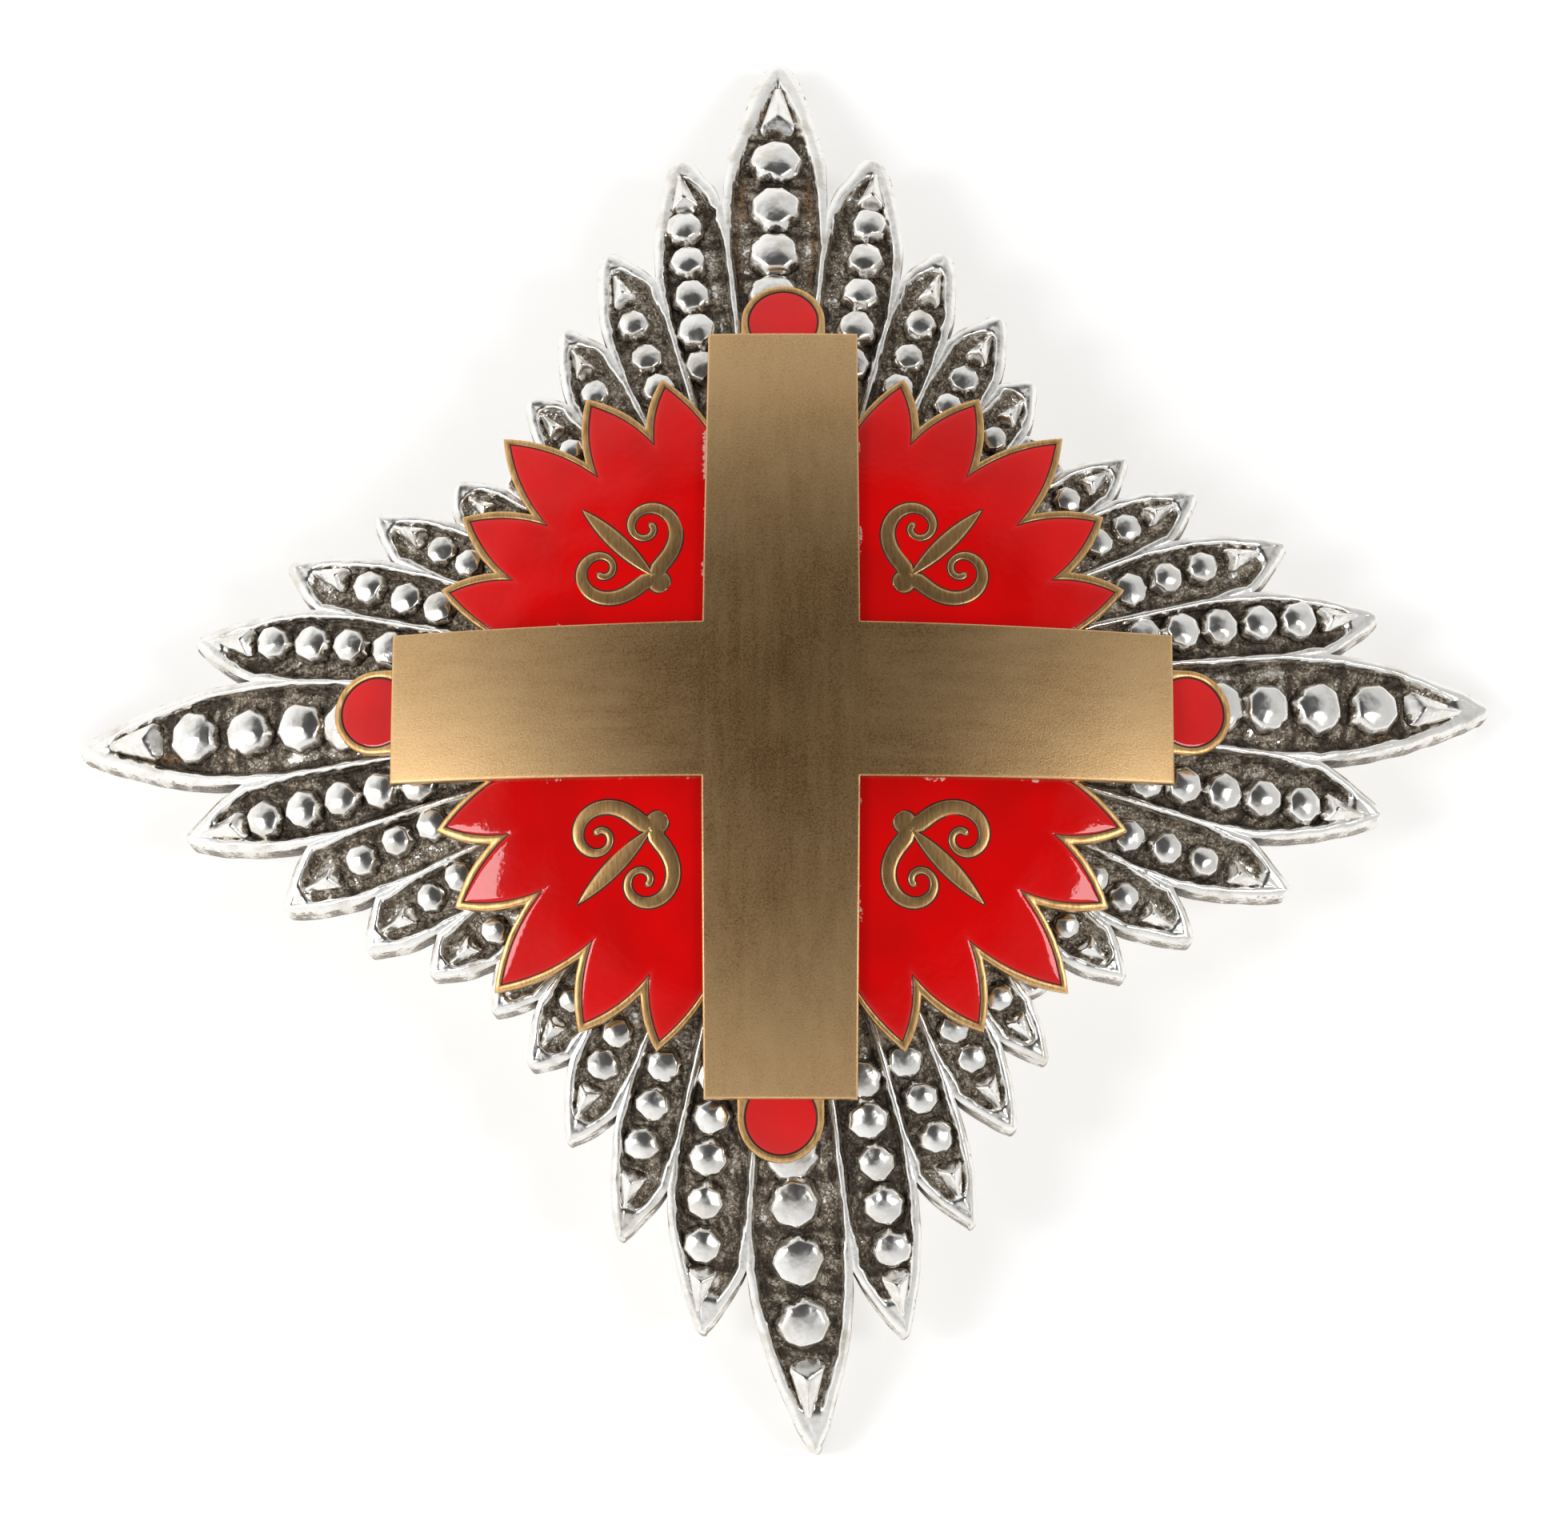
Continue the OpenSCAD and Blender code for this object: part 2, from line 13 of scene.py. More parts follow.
import bmesh
import bpy
import numpy as np
from mathutils import Matrix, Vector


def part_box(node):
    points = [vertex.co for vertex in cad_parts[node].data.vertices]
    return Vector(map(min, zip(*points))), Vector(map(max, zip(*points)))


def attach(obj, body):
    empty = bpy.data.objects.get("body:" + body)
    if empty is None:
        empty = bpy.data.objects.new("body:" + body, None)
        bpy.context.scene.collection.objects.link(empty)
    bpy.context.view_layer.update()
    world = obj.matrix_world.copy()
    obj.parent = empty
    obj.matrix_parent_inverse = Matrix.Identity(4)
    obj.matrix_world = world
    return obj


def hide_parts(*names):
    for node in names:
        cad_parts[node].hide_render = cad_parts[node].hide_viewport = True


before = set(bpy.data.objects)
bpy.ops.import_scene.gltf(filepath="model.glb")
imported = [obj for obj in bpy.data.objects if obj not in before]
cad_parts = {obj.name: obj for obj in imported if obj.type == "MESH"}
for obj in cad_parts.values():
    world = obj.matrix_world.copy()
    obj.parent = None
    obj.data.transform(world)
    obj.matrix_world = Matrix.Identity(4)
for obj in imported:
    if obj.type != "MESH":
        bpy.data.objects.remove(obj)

log = logging.getLogger("breast_star")
MM = 0.001
# Steps in a millimetre to which points are rounded before equal ones are merged
WELD_STEPS = 1e4
QUARTERS = ("ne", "nw", "sw", "se")
TONGUES = ("east", "north", "west", "south")
Grid = tuple[np.ndarray, np.ndarray, dict[str, np.ndarray]]
Pairs = tuple[tuple[float, float], ...]
# The four sides of a grid of points, taken round in one turn
RIM_ORDER = ((slice(0, -1), 0), (-1, slice(0, -1)), (slice(-1, 0, -1), -1), (0, slice(-1, 0, -1)))


class Slot(Enum):
    """Material slots of the record."""

    CASTING = "silvered_casting"
    GILT = "gilt_metal"
    BRASS = "brass_sheet"
    WIRE = "pin_wire"
    ENAMEL = "red_enamel"


# Small tools


def polar(azimuth: np.ndarray, reach: np.ndarray) -> np.ndarray:
    """Plan points at angles in degrees and distances from the middle."""
    turn = np.radians(azimuth)
    return np.stack([reach * np.cos(turn), reach * np.sin(turn)], axis=-1)


def smooth(value: np.ndarray) -> np.ndarray:
    """Ease from 0 to 1: three times the square less twice the cube."""
    part = np.clip(value, 0.0, 1.0)
    return part * part * (3.0 - 2.0 * part)


def bell(value: np.ndarray, width: float) -> np.ndarray:
    """A bell: the falling exponential of the square of value over width."""
    return np.exp(-((value / width) ** 2))


def unit(vector: np.ndarray, least: float = 1e-9) -> np.ndarray:
    """Vectors over their lengths, or over the least length where they are shorter."""
    return vector / np.maximum(np.linalg.norm(vector, axis=-1, keepdims=True), least)


def raised(plan: np.ndarray, height: np.ndarray) -> np.ndarray:
    """Plan points with heights as their third coordinate."""
    return np.concatenate([plan, height[..., None]], axis=-1)


def turns(count: int, whole: float = 2.0 * math.pi) -> np.ndarray:
    """Even angles once round, without the last, which is the first again."""
    return np.linspace(0.0, whole, count + 1)[:-1]


def bow(start: np.ndarray, end: np.ndarray, share: float, part: np.ndarray) -> np.ndarray:
    """Points of a shallow arc: the straight mix of the ends, plus a parabola to the left of the way.

    Args:
        start: first point, last axis xy.
        end: last point, last axis xy.
        share: bulge in the middle, as a share of the chord.
        part: how far along, 0 to 1.

    Returns:
        Points, last axis xy.
    """
    chord = end - start
    left = np.stack([-chord[..., 1], chord[..., 0]], axis=-1)
    along = part[..., None]
    return start + chord * along + 4.0 * share * along * (1.0 - along) * left


def ripple(place: np.ndarray, size: float, seed: int) -> np.ndarray:
    """Smooth uneven pattern: a sum of nine plane waves of about one length in seeded directions.

    Args:
        place: points, last axis two or more long, of which x and y count.
        size: length of the waves.
        seed: which pattern.

    Returns:
        Values of about -1 to 1.
    """
    rng = np.random.default_rng(seed)
    angle = rng.uniform(0.0, 2.0 * math.pi, 9)
    rate = 2.0 * math.pi / (size * rng.uniform(0.7, 1.5, 9))
    shift = rng.uniform(0.0, 2.0 * math.pi, 9)
    wave = place[..., 0:1] * (np.cos(angle) * rate) + place[..., 1:2] * (np.sin(angle) * rate) + shift
    return np.sin(wave).sum(axis=-1) / 4.2


def line_distance(place: np.ndarray, line: np.ndarray) -> np.ndarray:
    """Distance of each plan point from a chain of straight pieces: the least over all pieces.

    Args:
        place: points (n, 2).
        line: corners (m, 2).

    Returns:
        Distances (n,).
    """
    start, step = line[:-1], line[1:] - line[:-1]
    square = np.maximum((step**2).sum(axis=1), 1e-12)
    apart = place[:, None, :] - start[None]
    part = np.clip((apart * step[None]).sum(axis=2) / square[None], 0.0, 1.0)
    miss = apart - part[..., None] * step[None]
    return np.sqrt((miss**2).sum(axis=2)).min(axis=1)


def grid_faces(rows: int, columns: int, around: bool = False) -> np.ndarray:
    """Four-sided faces of a grid of points that is numbered row by row.

    Args:
        rows: number of rows of points.
        columns: number of points in a row.
        around: whether the last column meets the first.

    Returns:
        Corner numbers (faces, 4), turning against the clock where rows run along x and columns along y.
    """
    row = np.arange(rows - 1)[:, None]
    column = np.arange(columns if around else columns - 1)[None, :]
    beside = (column + 1) % columns
    here, ahead = row * columns, (row + 1) * columns
    corners = [here + column, ahead + column, ahead + beside, here + beside]
    return np.stack(corners, axis=-1).reshape(-1, 4)


def sheets(points: np.ndarray, around: bool = False, flip: bool = False, **values: np.ndarray) -> Grid:
    """One mesh part from many grids of one size.

    Args:
        points: places (grids, rows, columns, 3).
        around: whether each grid's last column meets its first.
        flip: whether to turn the faces over.
        values: named numbers for each point (grids, rows, columns).

    Returns:
        Places (n, 3), faces (m, 4) and the named numbers (n,).
    """
    count, rows, columns, _ = points.shape
    faces = grid_faces(rows, columns, around)
    faces = faces[:, ::-1] if flip else faces
    start = (np.arange(count) * rows * columns)[:, None, None]
    flat = {name: np.broadcast_to(value, points.shape[:3]).reshape(-1) for name, value in values.items()}
    return points.reshape(-1, 3), (faces[None] + start).reshape(-1, 4), flat


def join(parts: list[Grid], names: tuple[str, ...]) -> Grid:
    """All parts as one, with each named number filled with 0 where a part has none.

    Args:
        parts: the mesh parts.
        names: the named numbers to keep.

    Returns:
        The joined mesh part.
    """
    places, faces, start = [], [], 0
    values: dict[str, list[np.ndarray]] = {name: [] for name in names}
    for place, face, value in parts:
        places.append(place)
        faces.append(face + start)
        start += len(place)
        for name in names:
            values[name].append(value.get(name, np.zeros(len(place))))
    joined = {name: np.concatenate(value) for name, value in values.items()}
    return np.concatenate(places), np.concatenate(faces), joined


def weld(place: np.ndarray, faces: np.ndarray, values: dict[str, np.ndarray]) -> Grid:
    """Merge points that round to one place, cut faces in triangles and drop empty ones.

    Args:
        place: places (n, 3).
        faces: corner numbers (m, 4).
        values: named numbers (n,).

    Returns:
        The mesh part, with triangles for faces.
    """
    key = np.round(place * WELD_STEPS).astype(np.int64)
    _, first, number = np.unique(key, axis=0, return_index=True, return_inverse=True)
    faces = number.reshape(-1)[faces]
    triangles = np.concatenate([faces[:, [0, 1, 2]], faces[:, [0, 2, 3]]])
    a, b, c = triangles.T
    triangles = triangles[(a != b) & (b != c) & (a != c)]
    return place[first], triangles, {name: value[first] for name, value in values.items()}


def add_object(name: str, data: bpy.types.ID) -> bpy.types.Object:
    """Put a new object in the scene.

    Args:
        name: the object's name.
        data: its mesh, lamp or camera.

    Returns:
        The new object.
    """
    thing = bpy.data.objects.new(name, data)
    bpy.context.scene.collection.objects.link(thing)
    return thing


def make_piece(
    name: str, parts: list[Grid], material: bpy.types.Material, nodes: tuple[str, ...]
) -> bpy.types.Object:
    """Make a mesh object in metres, smooth-shaded, that rides on the part and stands for CAD nodes.

    Args:
        name: the piece's name.
        parts: its grids.
        material: what it is made of.
        nodes: the CAD nodes that it replaces.

    Returns:
        The new object.
    """
    names = tuple(sorted({key for part in parts for key in part[2]}))
    place, triangles, values = weld(*join(parts, names))
    mesh = bpy.data.meshes.new(name)
    mesh.vertices.add(len(place))
    mesh.vertices.foreach_set("co", (place * MM).astype(np.float32).reshape(-1))
    mesh.loops.add(triangles.size)
    mesh.loops.foreach_set("vertex_index", triangles.astype(np.int32).reshape(-1))
    mesh.polygons.add(len(triangles))
    mesh.polygons.foreach_set("loop_start", np.arange(0, triangles.size, 3, dtype=np.int32))
    mesh.polygons.foreach_set("use_smooth", np.ones(len(triangles), dtype=bool))
    for key in names:
        layer = mesh.attributes.new(key, "FLOAT", "POINT")
        layer.data.foreach_set("value", values[key].astype(np.float32))
    mesh.update(calc_edges=True)
    mesh.validate()
    shell = bmesh.new()
    shell.from_mesh(mesh)
    bmesh.ops.recalc_face_normals(shell, faces=shell.faces)
    shell.to_mesh(mesh)
    shell.free()
    mesh.materials.append(material)
    piece = add_object(name, mesh)
    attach(piece, "root")
    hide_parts(*nodes)
    log.info("%s: %d triangles, replaces %s", name, len(triangles), ", ".join(nodes))
    return piece


# Finishes


def linear(code: str) -> tuple[float, float, float, float]:
    """An sRGB hex colour in linear numbers.

    Args:
        code: the colour, with a leading #.

    Returns:
        Red, green, blue and full alpha.
    """
    parts = [int(code[i : i + 2], 16) / 255.0 for i in (1, 3, 5)]
    light = [p / 12.92 if p <= 0.04045 else ((p + 0.055) / 1.055) ** 2.4 for p in parts]
    return light[0], light[1], light[2], 1.0


def grey(level: float) -> tuple[float, float, float, float]:
    """A grey of the given level."""
    return level, level, level, 1.0


def per_mm(size: float) -> float:
    """A pattern's scale in metres from the size of its features in millimetres."""
    return 1.0 / (size * MM)


def add_node(
    tree: bpy.types.NodeTree, kind: str, settings: dict, links: dict | None = None, out: int | str = 0
) -> bpy.types.NodeSocket | None:
    """Add a node.

    Args:
        tree: the node tree.
        kind: the node's type, without the words ShaderNode.
        settings: values by input name or number, or by property name where no input has it.
        links: output sockets by input name or number.
        out: which output to hand back.

    Returns:
        That output, or nothing where the node has none.
    """
    node = tree.nodes.new("ShaderNode" + kind)
    for key, value in settings.items():
        if isinstance(key, int) or key in node.inputs:
            node.inputs[key].default_value = value
        elif key == "stops":
            ramp = node.color_ramp
            while len(ramp.elements) < len(value):
                ramp.elements.new(0.5)
            for element, (at, colour) in zip(ramp.elements, value):
                element.position = at
                element.color = colour
        else:
            setattr(node, key, value)
    for key, socket in (links or {}).items():
        tree.links.new(socket, node.inputs[key])
    return node.outputs[out] if len(node.outputs) else None


def new_material(name: str) -> tuple[bpy.types.Material, Callable, bpy.types.NodeSocket]:
    """Start a node material.

    Args:
        name: the material's name.

    Returns:
        The material, the function that adds a node to it, and its object coordinates.
    """
    material = bpy.data.materials.new(name)
    material.use_nodes = True
    material.node_tree.nodes.clear()
    add = partial(add_node, material.node_tree)
    return material, add, add("TexCoord", {}, out="Object")


@dataclass(frozen=True)
class SilveredCasting:
    """White metal cast in a mould, silver-plated, darkened, then polished on its high spots.

    It gives bright rims and beads, and grainy brown-black channels with small glints: bumps, and pale specks
    and flakes that are partly bare silver and partly painted glints.
    """

    silver: str = "#F1EFEB"
    worn: str = "#D2CCC0"
    dark: str = "#32281E"
    brown: str = "#73634F"
    flake_and_glint: str = "#C4BAA9"
    copper: str = "#9A6E42"
    grain_mm: float = 0.32
    speck_mm: float = 0.15
    lump_mm: float = 0.34
    blotch_mm: float = 1.6
    bump_mm: float = 0.10

    def material(self) -> bpy.types.Material:
        """Build the material: `recess` is 0 on high spots and 1 in channels, and `stain` 1 in stains."""
        material, add, where = new_material("silver_plated_white_metal_cast")
        names = ("recess", "stain")
        recess, stain = (add("Attribute", {"attribute_name": name}, out="Fac") for name in names)
        noises = ((self.grain_mm, 5.0, 0.72), (self.blotch_mm, 4.0, 0.6), (self.speck_mm, 3.0, 0.6))
        grain, blotch, specks = (
            add("TexNoise", {"Scale": per_mm(size), "Detail": detail, "Roughness": rough}, {"Vector": where})
            for size, detail, rough in noises
        )
        shape = {"feature": "SMOOTH_F1", "Scale": per_mm(self.lump_mm), "Smoothness": 0.5}
        lumps = add("TexVoronoi", shape, {"Vector": where})
        # The dark crust covers what lies deep, with a ragged edge; `recess` also carries painted shade
        # beside the beads
        ragged = add("Math", {"operation": "MULTIPLY_ADD", 1: 1.7, 2: -0.98}, {0: grain})
        spread = add("Math", {"operation": "MULTIPLY_ADD", 1: 0.9}, {0: blotch, 2: ragged})
        depth = add("Math", {"operation": "ADD"}, {0: recess, 1: spread})
        ease = {"interpolation_type": "SMOOTHSTEP", "From Min": 0.72, "From Max": 0.88}
        patina = add("MapRange", ease, {"Value": depth})
        deep = add("MapRange", {"From Min": 0.72, "From Max": 1.1, "To Max": 0.85}, {"Value": recess})
        # Pale specks on the crust: partly bare silver, partly painted glints
        speck = add("MapRange", {"From Min": 0.57, "From Max": 0.62}, {"Value": specks})
        shown = add("Math", {"operation": "SUBTRACT", "use_clamp": True}, {0: speck, 1: deep})
        streak = add("Math", {"operation": "MULTIPLY_ADD", 1: 1.5, 2: -0.62}, {0: grain})
        streak = add("Math", {"operation": "MULTIPLY", "use_clamp": True}, {0: streak, 1: stain})
        streak = add("Math", {"operation": "MULTIPLY", 1: 4.0, "use_clamp": True}, {0: streak})
        # The crust's tones run dark, brown, then the pale flake tone, which is partly a painted glint
        tones = [(0.34, linear(self.dark)), (0.50, linear(self.brown)), (0.63, linear(self.flake_and_glint))]
        crust = add("ValToRGB", {"stops": tones}, {"Fac": grain})
        for colour, share in ((self.dark, deep), (self.worn, shown), (self.copper, streak)):
            crust = add("Mix", {"data_type": "RGBA", 7: linear(colour)}, {"Factor": share, 6: crust}, 2)
        tones = [(0.25, linear(self.worn)), (0.5, linear(self.silver))]
        shine = add("ValToRGB", {"stops": tones}, {"Fac": blotch})
        colour = add("Mix", {"data_type": "RGBA"}, {"Factor": patina, 6: shine, 7: crust}, 2)
        rough, metal, strength = (
            add("MapRange", {"To Min": bright, "To Max": crusted}, {"Value": patina})
            for bright, crusted in ((0.22, 0.42), (1.0, 0.55), (0.12, 0.8))
        )
        height = add("Math", {"operation": "MULTIPLY_ADD", 1: 0.6}, {0: grain, 2: lumps})
        bump = add("Bump", {"Distance": self.bump_mm * MM}, {"Height": height, "Strength": strength})
        looks = {"Base Color": colour, "Roughness": rough, "Metallic": metal, "Normal": bump}
        add("OutputMaterial", {}, {"Surface": add("BsdfPrincipled", {}, looks)})
        return material


@dataclass(frozen=True)
class GiltMetal:
    """Gilded metal, polished flat with the enamel.

    It gives a warm pale gold with fine scratches, and a brown line beside the enamel.
    """

    gold: str = "#E4BA80"
    deep: str = "#C6975C"
    line: str = "#2A120A"
    scratch_mm: float = 0.15
    bump_mm: float = 0.03

    def material(self) -> bpy.types.Material:
        """Build the material. Its attribute `line` is 1 in the brown line beside the enamel."""
        material, add, where = new_material("gilded_copper_polished")
        line = add("Attribute", {"attribute_name": "line"}, out="Fac")
        stretch = add("Mapping", {"Scale": (1.0, 0.16, 1.0), "Rotation": (0.0, 0.0, 0.5)}, {"Vector": where})
        fine = {"Scale": per_mm(self.scratch_mm), "Detail": 3.0, "Roughness": 0.6}
        scratch = add("TexNoise", fine, {"Vector": stretch})
        tones = [(0.3, linear(self.deep)), (0.6, linear(self.gold))]
        tone = add("ValToRGB", {"stops": tones}, {"Fac": scratch})
        colour = add("Mix", {"data_type": "RGBA", 7: linear(self.line)}, {"Factor": line, 6: tone}, 2)
        rough = add("MapRange", {"To Min": 0.3, "To Max": 0.6}, {"Value": line})
        metal = add("MapRange", {"To Min": 1.0, "To Max": 0.0}, {"Value": line})
        bump = add("Bump", {"Distance": self.bump_mm * MM, "Strength": 0.15}, {"Height": scratch})
        looks = {"Base Color": colour, "Roughness": rough, "Metallic": metal, "Normal": bump}
        add("OutputMaterial", {}, {"Surface": add("BsdfPrincipled", {}, looks)})
        return material


@dataclass(frozen=True)
class RedEnamel:
    """Vitreous enamel, fired and polished.

    It gives a deep glossy red with a faint orange-peel surface, and pale crumbs along the cross.
    """

    red: str = "#EA0404"
    cherry: str = "#D80606"
    pale: str = "#E9C9C0"
    peel_mm: float = 0.55
    cloud_mm: float = 5.0
    crumb_mm: float = 0.35
    bump_mm: float = 0.05
    glass_ior: float = 1.52

    def material(self) -> bpy.types.Material:
        """Build the material. Its attribute `chip` is 1 where crumbs and chips lie along the cross."""
        material, add, where = new_material("vitreous_enamel_fired")
        chip = add("Attribute", {"attribute_name": "chip"}, out="Fac")
        noises = ((self.peel_mm, 2.0, 0.5), (self.cloud_mm, 2.0, 0.5), (self.crumb_mm, 3.0, 0.7))
        peel, cloud, crumb = (
            add("TexNoise", {"Scale": per_mm(size), "Detail": detail, "Roughness": rough}, {"Vector": where})
            for size, detail, rough in noises
        )
        tones = [(0.35, linear(self.cherry)), (0.6, linear(self.red))]
        tone = add("ValToRGB", {"stops": tones}, {"Fac": cloud})
        broken = add("Math", {"operation": "MULTIPLY"}, {0: chip, 1: crumb})
        chips = add("MapRange", {"From Min": 0.50, "From Max": 0.56}, {"Value": broken})
        colour = add("Mix", {"data_type": "RGBA", 7: linear(self.pale)}, {"Factor": chips, 6: tone}, 2)
        rough = add("MapRange", {"To Min": 0.05, "To Max": 0.6}, {"Value": chips})
        bump = add("Bump", {"Distance": self.bump_mm * MM, "Strength": 0.12}, {"Height": peel})
        looks = {"Base Color": colour, "Roughness": rough, "Normal": bump}
        add("OutputMaterial", {}, {"Surface": add("BsdfPrincipled", {"IOR": self.glass_ior}, looks)})
        return material


@dataclass(frozen=True)
class BrushedBrass:
    """Brass sheet, rubbed lengthwise and left to dull.

    It gives a satin brown-gold with faint streaks along the arms and a fine grain, and arms painted lighter
    towards their ends: a painted highlight where the lamps reflect.
    """

    gold: str = "#E2BC89"
    dull: str = "#CEA572"
    tarnish: str = "#A47B50"
    grain_mm: float = 0.11
    streak_mm: float = 0.7
    cloud_mm: float = 6.0
    bump_mm: float = 0.03

    def material(self) -> bpy.types.Material:
        """Build the material: `end` is 0 in the middle and 1 at the ends, which it paints lighter as a
        painted highlight, `lay` 1 on the upright arm.
        """
        material, add, where = new_material("brass_sheet_brushed")
        end, lay = (add("Attribute", {"attribute_name": name}, out="Fac") for name in ("end", "lay"))
        noises = ((self.grain_mm, 3.0, 0.7), (self.cloud_mm, 3.0, 0.5))
        grain, cloud = (
            add("TexNoise", {"Scale": per_mm(size), "Detail": detail, "Roughness": rough}, {"Vector": where})
            for size, detail, rough in noises
        )
        rubbed = {"Scale": per_mm(self.streak_mm), "Detail": 7.0, "Roughness": 0.72}
        across, upright = (
            add("TexNoise", rubbed, {"Vector": add("Mapping", {"Scale": stretch}, {"Vector": where})})
            for stretch in ((0.08, 1.0, 1.0), (1.0, 0.08, 1.0))
        )
        streak = add("Mix", {"data_type": "FLOAT"}, {"Factor": lay, 2: across, 3: upright})
        mixed = add("Math", {"operation": "MULTIPLY_ADD", 1: 0.6, 2: -1.25}, {0: streak})
        # `end` lifts the tone towards the arms' ends: a painted highlight of the lamps' reflection
        for part, weight in ((cloud, 0.75), (grain, 1.7), (end, 0.4)):
            mixed = add("Math", {"operation": "MULTIPLY_ADD", 1: weight}, {0: part, 2: mixed})
        tones = [(0.0, linear(self.tarnish)), (0.3, linear(self.dull)), (0.75, linear(self.gold))]
        tone = add("ValToRGB", {"stops": tones}, {"Fac": mixed})
        rough = add("MapRange", {"To Min": 0.31, "To Max": 0.37}, {"Value": streak})
        bump = add("Bump", {"Distance": self.bump_mm * MM, "Strength": 0.25}, {"Height": grain})
        looks = {"Base Color": tone, "Roughness": rough, "Normal": bump}
        add("OutputMaterial", {}, {"Surface": add("BsdfPrincipled", {"Metallic": 1.0}, looks)})
        return material


@dataclass(frozen=True)
class DrawnWire:
    """Nickel-plated wire, drawn and bent: even grey metal with fine draw lines."""

    nickel: str = "#C8C5BE"
    dull: str = "#8F8B84"
    line_mm: float = 0.2
    bump_mm: float = 0.02

    def material(self) -> bpy.types.Material:
        """Build the material."""
        material, add, where = new_material("nickel_plated_wire_drawn")
        along = add("Mapping", {"Scale": (1.0, 0.06, 1.0)}, {"Vector": where})
        lines = add("TexNoise", {"Scale": per_mm(self.line_mm), "Detail": 3.0}, {"Vector": along})
        tones = [(0.35, linear(self.dull)), (0.6, linear(self.nickel))]
        tone = add("ValToRGB", {"stops": tones}, {"Fac": lines})
        bump = add("Bump", {"Distance": self.bump_mm * MM, "Strength": 0.3}, {"Height": lines})
        looks = {"Base Color": tone, "Normal": bump}
        shader = add("BsdfPrincipled", {"Metallic": 1.0, "Roughness": 0.28}, looks)
        add("OutputMaterial", {}, {"Surface": shader})
        return material


# The star


@dataclass(frozen=True)
class RayKind:
    """One kind of ray: angles in degrees from the arm, the rest in shares of the star's or ray's reach."""

    azimuth: float
    reach: float
    notch_azimuth: float
    notch_reach: float
    stone: float
    bead: float
    beads: tuple[float, ...]


KINDS = (
    RayKind(0.00, 1.000, 5.9, 0.766, 0.906, 0.066, (0.824, 0.743, 0.668, 0.603)),
    RayKind(9.65, 0.846, 15.2, 0.670, 0.925, 0.059, (0.860, 0.793, 0.727, 0.662, 0.600)),
    RayKind(19.40, 0.737, 24.1, 0.592, 0.905, 0.059, (0.826, 0.753, 0.683)),
    RayKind(28.50, 0.650, 33.3, 0.542, 0.905, 0.061, (0.828, 0.756)),
    RayKind(36.95, 0.593, 41.2, 0.513, 0.905, 0.062, (0.822,)),
    RayKind(45.00, 0.530, 48.8, 0.513, 0.910, 0.060, ()),
)
# How far each ray, counted from the east arm against the clock, and the notch after it were cast out of
# true: the ray's turn in degrees and stretch, then the notch's
CASTING = (
    (1.1, 0.995, 0.3, 0.999), (0.1, 1.000, -1.0, 1.008),
    (-0.6, 1.010, -0.8, 1.001), (-0.6, 1.009, -1.1, 1.005),
    (-0.7, 1.013, -1.1, 1.008), (-0.6, 0.999, -0.7, 1.007),
    (-0.5, 0.991, -0.5, 1.024), (-0.6, 0.998, -0.2, 0.981),
    (-0.4, 0.965, -0.5, 0.970), (-0.3, 0.995, 0.1, 0.970),
    (-0.5, 1.000, -0.3, 0.988), (-0.5, 0.996, -0.3, 0.973),
    (0.0, 0.975, 0.0, 0.973), (-0.4, 0.973, 0.0, 0.979),
    (0.3, 0.966, 0.2, 0.971), (0.1, 0.979, 0.9, 0.967),
    (0.2, 0.946, 1.7, 0.967), (0.8, 0.976, 1.3, 0.976),
    (0.5, 0.983, 0.8, 0.994), (0.2, 0.982, 0.4, 0.969),
    (0.1, 0.995, -0.3, 0.983), (0.2, 0.998, -1.0, 1.008),
    (0.6, 0.998, -0.7, 1.029), (0.3, 1.007, -1.2, 1.032),
    (-0.8, 1.011, -0.2, 1.014), (0.5, 1.075, 0.6, 1.006),
    (0.9, 1.003, 1.3, 1.024), (1.2, 1.008, 1.1, 1.005),
    (1.2, 1.015, 0.8, 1.000), (1.1, 1.001, 1.2, 0.990),
    (1.5, 1.000, 0.3, 0.997), (0.6, 1.017, -0.4, 0.993),
    (0.0, 1.010, -1.4, 0.975), (-0.7, 1.004, -1.3, 0.998),
    (-1.1, 1.009, -1.8, 1.006), (-1.9, 0.986, -2.0, 1.001),
    (-2.3, 0.998, -1.3, 0.985), (-1.8, 0.986, -1.3, 0.986),
    (-0.7, 0.998, -0.6, 0.988), (-0.1, 0.994, 0.5, 0.971),
)
# How far the rays' edges bulge, every 45 degrees from the east arm
BULGES = (0.06, 0.08, 0.30, 0.06, 0.14, 0.04, 0.02, 0.04)
# How much broader still the rays' tips are, at the same angles
ROUNDS = (0.2, 0.08, 0.34, 0.08, 0.12, 0.08, 0.1, 0.08)
# How long the solid metal at the rays' tips is, at the same angles
SOLIDS = (2.0, 1.5, 0.9, 1.4, 1.8, 1.4, 2.2, 1.5)
# The lumps of the channel floor: height, length and seed of each ripple
LUMPS = ((0.05, 0.9, 23), (0.05, 0.45, 29), (0.04, 0.28, 31))
# Where the rim of the east ray is nicked, and where stains lie in the channels: middle, reach along x and y
NICK = np.array([36.7, 3.0])
STAINS = (
    (36.4, -0.9, 0.7, 0.35),
    (-1.95, 39.9, 0.25, 0.9),
    (-36.9, -1.9, 1.4, 0.25),
)


